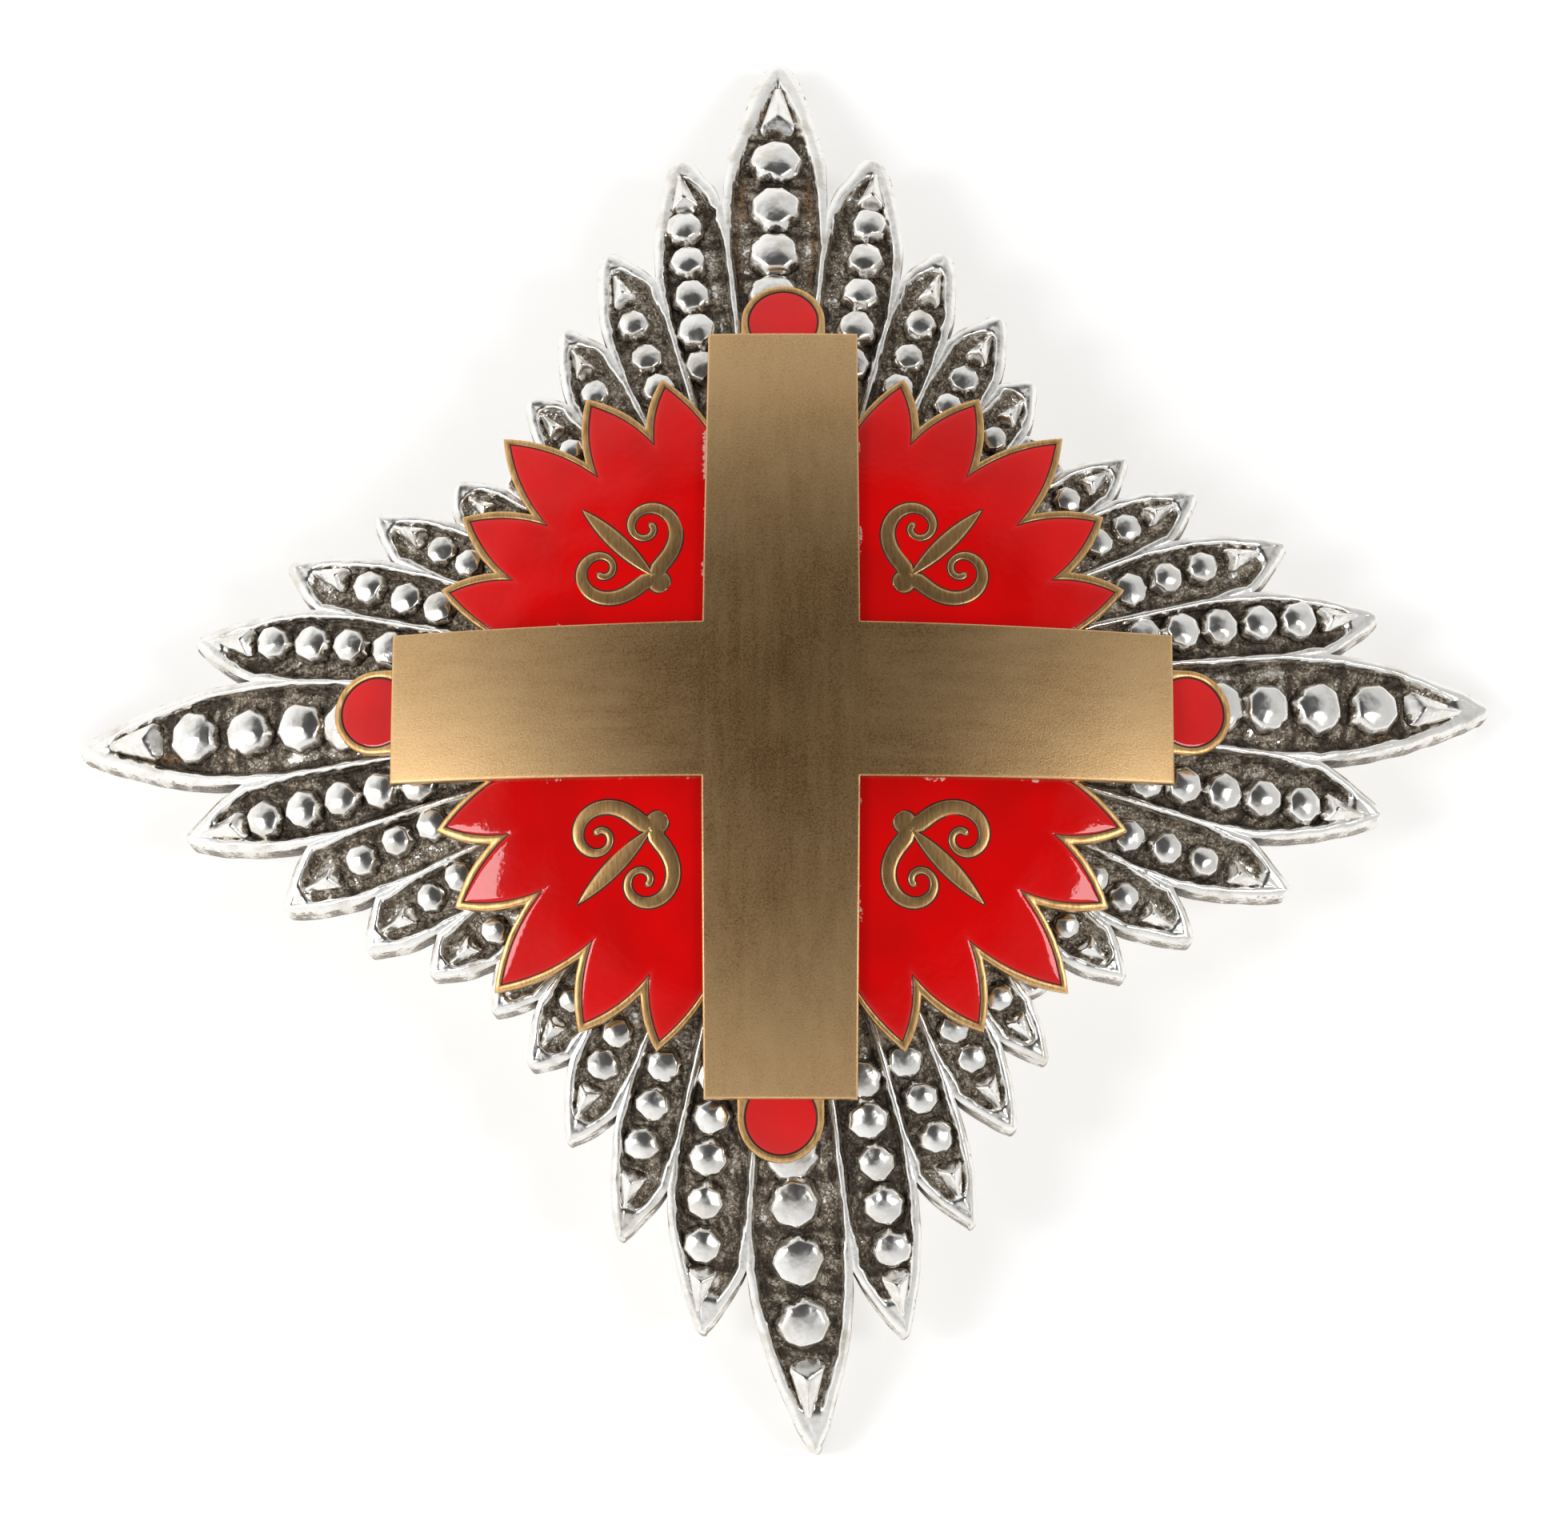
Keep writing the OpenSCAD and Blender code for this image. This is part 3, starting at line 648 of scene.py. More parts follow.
@dataclass
class CastStar:
    """The cast star of forty rays, with its beads and stones.

    `turn` is the whole star's in degrees. `proud` is how far beads outside the plate stand over the rims,
    `cross_low` how far below the middle the plate and the cross were set, `blunt` the share of a ray's outer
    edge before its round tip, `soft` how molten the beads' edges are and `near` where the first columns of
    points lie, counted from the edge. The notches that reach past `long_notch` of the star's reach show from
    `long_shown` on, and the others from `short_shown`.
    """

    reach: float = 43.1
    turn: float = 1.1
    dome_r: float = 97.0
    wall: float = 2.8
    rim_w: float = 0.62
    channel_d: float = 0.66
    proud: float = 0.42
    edge_bow: float = 0.055
    root: float = 12.07
    plate_reach: float = 23.55
    tongue_reach: float = 26.45
    cross_low: float = 0.25
    long_notch: float = 0.74
    long_shown: float = 21.5
    short_shown: float = 16.5
    free_mm: float = 3.0
    wobble: float = 0.045
    wobble_mm: float = 2.3
    hidden_rows: int = 4
    shown_rows: int = 24
    outer_rows: int = 32
    cap_rows: int = 5
    blunt: float = 0.945
    soft: float = 0.05
    near: tuple[float, ...] = (0.0, 0.04, 0.10, 0.18, 0.28, 0.38, 0.48, 0.58, 0.70, 0.84, 1.0)
    count: int = 40
    per_arm: int = 10
    kind: np.ndarray = field(init=False)
    azimuth: np.ndarray = field(init=False)
    length: np.ndarray = field(init=False)
    bulge: np.ndarray = field(init=False)
    round: np.ndarray = field(init=False)
    solid: np.ndarray = field(init=False)
    bead_radius: np.ndarray = field(init=False)
    notch_azimuth: np.ndarray = field(init=False)
    notch_length: np.ndarray = field(init=False)

    def __post_init__(self) -> None:
        """Work out each ray's and each notch's angle and reach from the tables."""
        number = np.arange(self.count)
        place, arm = number % self.per_arm, number // self.per_arm * 90.0
        last = len(KINDS) - 1
        table = np.array([(k.azimuth, k.reach, k.bead, k.notch_azimuth, k.notch_reach) for k in KINDS])
        self.kind = np.where(place <= last, place, self.per_arm - place)
        side = np.where(place <= last, 1.0, -1.0)
        azimuth, reach, bead, _, _ = table[self.kind].T
        true = arm + np.where(side > 0, 0.0, 90.0) + side * azimuth
        ray_turn, ray_stretch, notch_turn, notch_stretch = np.array(CASTING).T
        angles = np.arange(9) * 45.0
        self.bulge, self.round, solid = (
            np.interp(true % 360.0, angles, (*measure, measure[0]))[:, None]
            for measure in (BULGES, ROUNDS, SOLIDS)
        )
        self.solid = solid[..., None]
        self.azimuth = true + self.turn + ray_turn
        self.length = self.reach * ray_stretch * reach
        self.bead_radius = self.length * bead / 2.0
        notch = np.where(place < last, place, self.per_arm - 1 - place)
        side = np.where(place < last, 1.0, -1.0)
        _, _, _, azimuth, reach = table[notch].T
        true = arm + np.where(side > 0, 0.0, 90.0) + side * azimuth
        self.notch_azimuth = true + self.turn + notch_turn
        self.notch_length = self.reach * notch_stretch * reach

    def axis(self, ray: np.ndarray, distance: np.ndarray) -> np.ndarray:
        """Angle of a ray's crooked middle line, which runs through its tip and half-way between its notches.

        Args:
            ray: numbers of the rays.
            distance: distances from the star's middle.

        Returns:
            Angles in degrees.
        """
        before = (ray - 1) % self.count
        fork = (self.notch_azimuth[before] - 360.0 * (ray == 0) + self.notch_azimuth[ray]) / 2.0
        fork_reach = (self.notch_length[before] + self.notch_length[ray]) / 2.0
        part = (self.length[ray] - distance) / (self.length[ray] - fork_reach)
        return self.azimuth[ray] + (fork - self.azimuth[ray]) * part

    def rim_z(self, distance: np.ndarray) -> np.ndarray:
        """Height of the rims: the dome's sagitta, with the long rays' backs on the floor."""
        dome = np.sqrt(self.dome_r**2 - distance**2)
        return self.wall + dome - math.sqrt(self.dome_r**2 - self.reach**2)

    def edge(self, side: int) -> tuple[np.ndarray, np.ndarray]:
        """Outline of every ray on one side, from root to near the tip.

        The line runs along the notch's own angle to the notch, then on a shallow arc to the tip. How free it
        is rises smoothly from 0 to 1 over the last few mm before the notch, and past it by how far the edge
        bulges out. How bare it is rises from 0 at the notch to 1 at a third of the way to the tip.

        Args:
            side: 1 for the side against the clock, -1 for the other.

        Returns:
            Points (ray, row, 2) and how free and how bare the edge is there (ray, row, 2).
        """
        notch = np.arange(self.count) if side > 0 else (np.arange(self.count) - 1) % self.count
        angle, reach = self.notch_azimuth[notch][:, None], self.notch_length[notch][:, None]
        shown = np.where(reach > self.long_notch * self.reach, self.long_shown, self.short_shown)
        hide = np.arange(self.hidden_rows) / self.hidden_rows
        show = np.arange(self.shown_rows) / self.shown_rows
        hidden = self.root + (shown - self.root) * hide
        inner = np.concatenate([hidden, shown + (reach - shown) * show], axis=1)
        part = np.linspace(0.0, self.blunt, self.outer_rows + 1)[None, :]
        foot = polar(angle, reach)
        tip = polar(self.azimuth, self.length)[:, None, :]
        outer = bow(foot, tip, side * self.edge_bow, part)
        wider = self.bulge * smooth(part / 0.4) + self.round * smooth((part - 0.55) / 0.4)
        free = np.concatenate([smooth((inner - reach + self.free_mm) / self.free_mm), 1.0 + wider], axis=1)
        line = np.concatenate([polar(angle, inner), outer], axis=1)
        loose = np.concatenate([0.0 * inner, smooth(part / 0.12) + 0.0 * reach], axis=1)
        wobble = self.wobble * ripple(line, self.wobble_mm, 5) * loose + np.clip(free - 1.0, 0.0, None)
        bare = np.concatenate([0.0 * inner, smooth(part / 0.35) + 0.0 * reach], axis=1)
        turn = np.radians(self.azimuth)
        away = np.stack([-np.sin(turn), np.cos(turn)], axis=-1)[:, None, :]
        return line + side * away * wobble[..., None], np.stack([free, bare], axis=-1)

    def outline(self) -> tuple[np.ndarray, np.ndarray, np.ndarray, np.ndarray]:
        """Both outlines of every ray with the blunt tip: half an ellipse that ends at the ray's reach.

        Returns:
            Points of the clockwise side and of the other (ray, row, 2), and how free and bare each of them
            is (ray, row, 2).
        """
        right, right_free = self.edge(-1)
        left, left_free = self.edge(1)
        middle = (right[:, -1] + left[:, -1]) / 2.0
        half = (left[:, -1] - right[:, -1]) / 2.0
        ahead = polar(self.azimuth, self.length * 0.9995) - middle
        turn = np.linspace(0.0, math.pi / 2.0, self.cap_rows + 1)[1:]
        cap = middle[:, None] + ahead[:, None] * np.sin(turn)[None, :, None]
        wide = half[:, None] * np.cos(turn)[None, :, None]
        ones = np.ones((self.count, self.cap_rows, 2)) + (self.bulge + self.round)[..., None] * [1.0, 0.0]
        return (
            np.concatenate([right, cap - wide], axis=1),
            np.concatenate([left, cap + wide], axis=1),
            np.concatenate([right_free, ones], axis=1),
            np.concatenate([left_free, ones], axis=1),
        )

    def half_columns(self, edge: np.ndarray, other: np.ndarray) -> tuple[np.ndarray, np.ndarray]:
        """Points from one edge to the middle of a ray, close together at the rim.

        Args:
            edge: the edge that the distances count from (ray, row, 2).
            other: the other edge.

        Returns:
            Points (ray, row, column, 2) and their distance from the edge, square to it.
        """
        across = other - edge
        width = np.linalg.norm(across, axis=-1, keepdims=True)
        near = np.array(self.near)
        share = np.linspace(0.0, 0.42, len(near))
        offset = np.minimum(near, share * width)
        inner = offset[..., -1:] + (width / 2.0 - offset[..., -1:]) * np.array([1.0, 2.0, 3.0]) / 3.0
        offset = np.concatenate([offset, inner], axis=-1)
        way = across / np.maximum(width, 1e-9)
        tangent = unit(np.gradient(edge, axis=1))
        square = np.abs(tangent[..., 0] * way[..., 1] - tangent[..., 1] * way[..., 0])
        return edge[:, :, None] + way[:, :, None] * offset[..., None], offset * square[..., None]

    def relief(
        self, place: np.ndarray, edge_gap: np.ndarray, free: np.ndarray, bare: np.ndarray
    ) -> np.ndarray:
        """Height over the rims' dome: a rounded rim, a steep wall and the channel with its cross ribs.

        The rim's crest lies on the shared line at the root and moves 0.3 mm in where the edge is free. Past
        the crest the height falls by a smooth step to the channel floor, which is uneven and has a hollow
        between two beads.

        Args:
            place: points (ray, row, column, 2).
            edge_gap: distance from the nearer edge.
            free: how free that edge is.
            bare: how bare it is.

        Returns:
            Heights (ray, row, column), 0 or less on the metal.
        """
        wider = np.clip(free - 1.0, 0.0, None)
        free = np.minimum(free, 1.0)
        crest = self.rim_w / 2.0 * free + 0.5 * wider + 0.05 * ripple(place, 1.7, 11)
        past = edge_gap - 0.08 - 0.34 * free - 1.1 * wider + 0.04 * ripple(place, 1.1, 13)
        tip = polar(self.azimuth, self.length)[:, None, None, :]
        aside = self.aside(place)
        share = self.length[:, None, None] / self.reach
        to_tip = np.linalg.norm(place - tip, axis=-1) / (0.25 + 0.75 * share)
        depth = self.channel_d * smooth((to_tip - self.solid) / 1.2)
        in_channel = smooth(past / 0.36)
        rim = -0.5 * np.clip(np.abs(edge_gap - crest), 0.0, 0.3) ** 2 - 0.02 * (1.0 + ripple(place, 1.3, 17))
        rim = rim - 0.4 * np.exp(-(((place - NICK) ** 2).sum(axis=-1)) / 0.05)
        outward = np.clip(crest - edge_gap, 0.0, None) / np.maximum(crest, 0.05)
        web = (0.03 + 0.2 * bare) * free * outward**2
        under_beads = smooth((self.bead_radius[:, None, None] * 1.25 - aside) / 0.3)
        strip = 0.2 * under_beads * (1.0 - self.hollows(place, aside)) - 0.04
        lumps = sum(high * ripple(place, size, seed) for high, size, seed in LUMPS)
        floor = (strip + lumps) * smooth((to_tip - self.solid - 0.5) / 1.3)
        return rim * (1.0 - in_channel) - web - in_channel * (depth - floor)

    def aside(self, place: np.ndarray) -> np.ndarray:
        """Distance of places from their ray's crooked middle line.

        Args:
            place: points (ray, row, column, 2).

        Returns:
            Distances (ray, row, column).
        """
        number = np.arange(self.count)[:, None, None]
        axis = polar(self.axis(number, np.linalg.norm(place, axis=-1)), 1.0)
        return np.abs(place[..., 1] * axis[..., 0] - place[..., 0] * axis[..., 1])

    def hollows(self, place: np.ndarray, aside: np.ndarray) -> np.ndarray:
        """How near places are to the hollows: a bell half-way between two beads, and a ring round each bead.

        Args:
            place: points (ray, row, column, 2).
            aside: their distance from the ray's middle line.

        Returns:
            Values from 0 to 1 (ray, row, column).
        """
        distance = np.linalg.norm(place, axis=-1)
        radius = self.bead_radius[:, None, None]
        total = np.zeros(distance.shape)
        for number, kind in enumerate(KINDS):
            stops = np.array((kind.stone, *kind.beads)) * self.length[:, None, None, None]
            apart = distance[..., None] - (stops[..., 1:] + stops[..., :-1]) / 2.0
            bars = bell(apart, 0.26).sum(axis=-1)
            away = np.hypot(distance[..., None] - stops[..., 1:], aside[..., None]) - 1.1 * radius[..., None]
            rings = bell(away, 0.17).sum(axis=-1)
            total = np.where((self.kind == number)[:, None, None], bars + rings, total)
        return np.clip(total, 0.0, 1.0)

    def shell(self) -> list[Grid]:
        """The star's upper side, its free walls and its back."""
        right, left, right_free, left_free = self.outline()
        near_right, gap_right = self.half_columns(right, left)
        near_left, gap_left = self.half_columns(left, right)
        place = np.concatenate([near_right, near_left[:, :, -2::-1]], axis=2)
        gap = np.concatenate([gap_right, gap_left[:, :, -2::-1]], axis=2)
        columns = gap_right.shape[2]
        halves = ((right_free, columns), (left_free, columns - 1))
        free = np.concatenate([np.repeat(edge[:, :, None], wide, axis=2) for edge, wide in halves], axis=2)
        free, bare = free[..., 0], free[..., 1]
        rise = self.relief(place, gap, free, bare)
        distance = np.linalg.norm(place, axis=-1)
        top = raised(place, self.rim_z(distance) + rise)
        inside = gap - 0.36 * np.minimum(free, 1.0) - 1.1 * np.clip(free - 1.0, 0.0, None)
        deep = smooth((-rise - 0.3) / 0.2)
        groove = bell(inside - 0.5, 0.24) * (0.45 + 0.3 * ripple(place, 2.6, 37))
        # Darker in the hollows between and round the beads: partly patina in the hollows, partly painted
        # shade beside the beads
        dark = groove + 0.6 * self.hollows(place, self.aside(place)) + 0.16 * ripple(place, 1.6, 39)
        long = 0.4 + 0.6 * smooth((self.length[:, None, None] / self.reach - 0.6) / 0.35)
        recess = 0.56 * smooth((-rise - 0.06) / 0.42) + deep * dark * long
        recess = recess + 0.9 * np.exp(-(((place - NICK) ** 2).sum(axis=-1)) / 0.12)
        parts = [sheets(top, recess=recess, stain=self.stains(place, inside))]
        parts += self.walls(top)
        parts += self.back(right, left)
        middle = np.zeros_like(top[:, :1]) + [0.0, 0.0, float(self.rim_z(np.array(self.root)))]
        fan = np.concatenate([middle, top[:, :1]], axis=1)
        parts.append(sheets(fan, recess=np.ones(fan.shape[:3])))
        return parts

    def stains(self, place: np.ndarray, inside: np.ndarray) -> np.ndarray:
        """How stained the metal is: a bell over each stain's middle, bent by a ripple, and two lines.

        The lines lie in the top ray, as bells over the distance from the rim, between 27 mm and 40 mm from
        the star's middle.

        Args:
            place: points (ray, row, column, 2).
            inside: their distance from the rim's inner side.

        Returns:
            Values from 0 to 1 (ray, row, column).
        """
        outward = place[..., 1]
        total = bell(inside - 0.6, 0.09)
        total = total * smooth((41.0 - outward) / 2.0) * smooth(outward - 26.0)
        total *= np.arange(self.count)[:, None, None] == self.per_arm
        bent = place + 0.16 * np.stack([ripple(place, 2.4, 47), ripple(place, 2.1, 48)], axis=-1)
        for x, y, wide, high in STAINS:
            total += np.exp(-(((bent[..., 0] - x) / wide) ** 2) - ((bent[..., 1] - y) / high) ** 4)
        return np.clip(total, 0.0, 1.0)

    def walls(self, top: np.ndarray) -> list[Grid]:
        """Upright walls below the free edges, down to the back, darker towards the notch.

        Args:
            top: the upper side (ray, row, column, 3).

        Returns:
            Mesh parts.
        """
        start = self.hidden_rows + self.shown_rows
        down = np.array([0.0, 0.05, 0.13, 0.3, 0.6, 0.88, 1.0])
        flare = np.array([0.0, 0.03, 0.05, 0.07, 0.06, 0.03, 0.0])
        parts = []
        for column, flip in ((0, False), (-1, True)):
            edge = top[:, start:, column]
            distance = np.linalg.norm(edge[..., :2], axis=-1)
            low = self.rim_z(distance) - self.wall
            height = edge[..., 2:3] + (low[..., None] - edge[..., 2:3]) * down
            other = top[:, start:, -1 - column if column == 0 else 0]
            away = unit(edge[..., :2] - other[..., :2], 0.3)
            along = np.linspace(0.0, 1.0, edge.shape[1])[None, :, None]
            spread = flare * smooth(along / 0.12)
            plan = edge[:, :, None, :2] + away[:, :, None] * spread[..., None]
            wall = raised(plan, height)
            recess = 0.42 + 0.45 * smooth(1.0 - along * 2.5) + 0.22 * ripple(wall, 1.5, 31) + 0.3 * down
            recess[..., :2] *= 0.4
            parts.append(sheets(wall, flip=not flip, recess=recess))
        return parts

    def back(self, right: np.ndarray, left: np.ndarray) -> list[Grid]:
        """The back: the outline's points and three between, on the dome a wall's thickness lower.

        Args:
            right: outline of the clockwise side (ray, row, 2).
            left: outline of the other side.

        Returns:
            Mesh parts.
        """
        across = np.linspace(0.0, 1.0, 5)[None, None, :, None]
        plan = right[:, :, None] + (left - right)[:, :, None] * across
        inner = plan[:, :1] * np.array([0.0, 0.25, 0.5, 0.75])[None, :, None, None]
        plan = np.concatenate([inner, plan], axis=1)
        distance = np.linalg.norm(plan, axis=-1)
        low = self.rim_z(distance) - self.wall
        mottle = 0.38 + 0.22 * ripple(plan, 6.0, 37)
        return [sheets(raised(plan, low), flip=True, recess=mottle)]

    def studs(self, stones: bool) -> tuple[np.ndarray, np.ndarray, np.ndarray, np.ndarray]:
        """Where the beads or the stones stand.

        Args:
            stones: whether the stones are meant, and not the beads.

        Returns:
            For each its ray, distance from the star's middle, radius and height over the channel floor.
        """
        ray, place, radius = [], [], []
        for number in range(self.count):
            kind = KINDS[self.kind[number]]
            for share in (kind.stone,) if stones else kind.beads:
                ray.append(number)
                place.append(share * self.length[number])
                radius.append(kind.bead * self.length[number] / 2.0)
        ray_number, distance, size = np.array(ray), np.array(place), np.array(radius)
        limit = np.where(self.kind[ray_number] == 0, self.tongue_reach + size, self.plate_reach)
        high = self.channel_d + np.where(distance > limit + self.cross_low, self.proud, 0.0)
        return ray_number, distance, size, high

    def dome_frames(self, ray: np.ndarray, distance: np.ndarray) -> tuple[np.ndarray, np.ndarray]:
        """Where things stand on the channel floor, and how they are turned.

        Args:
            ray: numbers of the rays.
            distance: distances from the star's middle.

        Returns:
            Axes (n, 3, 3), rows outward, sideways and square to the dome, and places (n, 3).
        """
        turn = np.radians(self.axis(ray, distance))
        tilt = np.arcsin(distance / self.dome_r)
        out = np.stack([np.cos(turn) * np.cos(tilt), np.sin(turn) * np.cos(tilt), -np.sin(tilt)], axis=-1)
        side = np.stack([-np.sin(turn), np.cos(turn), np.zeros(len(turn))], axis=-1)
        up = np.cross(out, side)
        plan = polar(self.axis(ray, distance), distance)
        low = self.rim_z(distance) - self.channel_d
        return np.stack([out, side, up], axis=1), raised(plan, low)

    def round_beads(self, seed: int) -> Grid:
        """The beads: a small table, five broad crown sides and eight steep sides, with molten edges.

        The height is the soft least of all planes' heights, minus the logarithm of the sum of their falling
        exponentials, mixed with a smooth dome. The dark finish climbs up the middles of the steep sides.

        Args:
            seed: which small differences.

        Returns:
            The mesh part.
        """
        rng = np.random.default_rng(seed)
        ray, distance, radius, high = self.studs(False)
        count = len(ray)
        rings = np.array([0.0, 0.15, 0.28, 0.40, 0.50, 0.59, 0.67, 0.74, 0.80, 0.86, 0.92, 0.98, 1.04, 1.09])
        turn = turns(36)
        size = (radius * rng.uniform(1.0, 1.08, count))[:, None, None]
        wave = rng.uniform(0.0, 2.0 * math.pi, (2, count, 1, 1))
        start = rng.uniform(0.0, 2.0 * math.pi, (count, 1))
        hollow = np.abs(np.cos(4.0 * (turn - start[..., None])))
        uneven = 1.05 + 0.04 * np.sin(3.0 * turn + wave[0]) + 0.03 * np.sin(5.0 * turn + wave[1])
        ring = rings[None, :, None] * (uneven - 0.07 * hollow)
        ahead = ring * size * np.cos(turn)
        side = ring * size * np.sin(turn)
        top = high[:, None, None]
        turned = rng.uniform(0.0, 2.0 * math.pi, (count, 1))
        crown = self.bead_sides(rng, ahead / size, side / size, turned, 5, (1.08, 1.17), (0.36, 0.52))
        steep = self.bead_sides(rng, ahead / size, side / size, start, 8, (3.0, 3.3), (2.7, 2.9))
        lean = rng.uniform(-0.1, 0.1, (2, count, 1, 1))
        table = 1.0 + lean[0] * ahead + lean[1] * side
        cut = -self.soft * np.log(crown + steep + np.exp(-table / self.soft))
        dome = np.sqrt(np.clip(1.0 - (rings[None, :, None] / 1.1) ** 3.0 + 0.0 * ahead, 0.0, 1.0))
        dents = 0.015 * ripple(np.stack([ahead + 9.0 * ray[:, None, None], side], axis=-1), 0.9, 53)
        climb = 0.42 * hollow * (1.0 + 0.5 * np.sin(2.0 * turn + wave[1])) - 0.08
        return self.stand(ray, distance, ahead, side, top * (0.3 * dome + 0.7 * cut) + dents, high, climb)

    def bead_sides(
        self,
        rng: np.random.Generator,
        ahead: np.ndarray,
        side: np.ndarray,
        start: np.ndarray,
        planes: int,
        height: tuple[float, float],
        fall: tuple[float, float],
    ) -> np.ndarray:
        """Sum of the falling exponentials of the planes' heights: height less fall times the way outward.

        Args:
            rng: source of the small differences.
            ahead: outward places in shares of the bead's size (n, ring, column).
            side: sideways places.
            start: angle of the first side of each bead (n, 1).
            planes: how many sides.
            height: least and greatest height of a plane over the bead's middle.
            fall: least and greatest fall of a plane.

        Returns:
            The sum over the planes (n, ring, column).
        """
        count = len(ahead)
        way = start + 2.0 * math.pi * np.arange(planes) / planes
        way = (way + rng.uniform(-0.8, 0.8, (count, planes)) / planes)[..., None, None]
        toward = ahead[:, None] * np.cos(way) + side[:, None] * np.sin(way)
        each = (count, planes, 1, 1)
        plane = rng.uniform(*height, each) - rng.uniform(*fall, each) * toward
        return np.exp(-plane / self.soft).sum(axis=1)

    def tip_stones(self, seed: int) -> Grid:
        """The tips' stones: a steep side to the middle and two crown sides that meet in a falling ridge.

        Args:
            seed: which small differences.

        Returns:
            The mesh part.
        """
        rng = np.random.default_rng(seed)
        ray, distance, radius, high = self.studs(True)
        count = len(ray)
        rings = np.array([0.0, 0.17, 0.31, 0.43, 0.53, 0.62, 0.70, 0.77, 0.83, 0.89, 0.94, 0.98, 1.0])
        turn = turns(32)
        long = (radius * rng.uniform(2.6, 2.9, count))[:, None, None]
        wide = (radius * rng.uniform(0.84, 0.96, count))[:, None, None]
        ring = rings[None, :, None]
        at_rim = 0.5 + 0.5 * np.cos(turn)
        along = 0.36 + ring * (at_rim - 0.36) + 0.0 * long
        side = ring * np.sign(np.sin(turn)) * np.abs(np.sin(turn)) ** 0.4 * wide * (1.12 - 0.86 * at_rim)
        top = high[:, None, None]
        spine = top * (1.10 - 0.5 * along)
        off = np.abs(side + 0.05 * wide) / (wide * (1.0 - 0.82 * along))
        faces = (
            top * (0.1 + 4.2 * along),
            spine * (1.14 - 0.62 * off),
            spine * (3.3 - 3.0 * off),
            spine * (6.0 - 5.6 * along),
        )
        soft = 0.045
        level = -soft * np.log(sum(np.exp(-np.clip(face, -0.6, 4.0) / soft) for face in faces))
        climb = 0.12 + 0.22 * np.sin(7.0 * turn + rng.uniform(0.0, 6.0, (count, 1, 1)))
        level = np.clip(level, -0.2, None)
        return self.stand(ray, distance, long * (along - 0.42), side, level, high, climb)

    def stand(
        self,
        ray: np.ndarray,
        distance: np.ndarray,
        ahead: np.ndarray,
        side: np.ndarray,
        level: np.ndarray,
        high: np.ndarray,
        climb: np.ndarray,
    ) -> Grid:
        """Stand domes on the channel floor, square to the star's dome, each with a closed underside.

        Args:
            ray: each dome's ray.
            distance: its distance from the middle.
            ahead: outward places of its points (n, ring, column).
            side: sideways places.
            level: heights over the floor.
            high: each dome's full height.
            climb: how far up the dark finish climbs, as a share of that.

        Returns:
            The mesh part, whose `recess` rises where a dome is low.
        """
        axes, base = self.dome_frames(ray, distance)
        local = np.stack([ahead, side, level], axis=-1)
        place = np.einsum("nrsk,nkx->nrsx", local, axes) + base[:, None, None, :]
        recess = 1.0 - smooth((level / high[:, None, None] - climb) / 0.34)
        under = place[:, -1:] - 0.25 * axes[:, None, None, 2, :]
        closed = np.repeat(under.mean(axis=2, keepdims=True), level.shape[2], axis=2)
        place = np.concatenate([place, under, closed], axis=1)
        recess = np.concatenate([recess, np.ones((len(ray), 2, level.shape[2]))], axis=1)
        return sheets(place, around=True, recess=recess)

    def build(self, finish: SilveredCasting) -> list[bpy.types.Object]:
        """Make the star's shell and its beads and stones.

        Args:
            finish: the casting's finish.

        Returns:
            The new objects.
        """
        material = finish.material()
        shell = make_piece("star_rays", self.shell(), material, ("star_body",))
        studs = [self.round_beads(41), self.tip_stones(43)]
        beads = make_piece("star_beads", studs, material, ("star_body",))
        return [shell, beads]


# The plate and its enamel


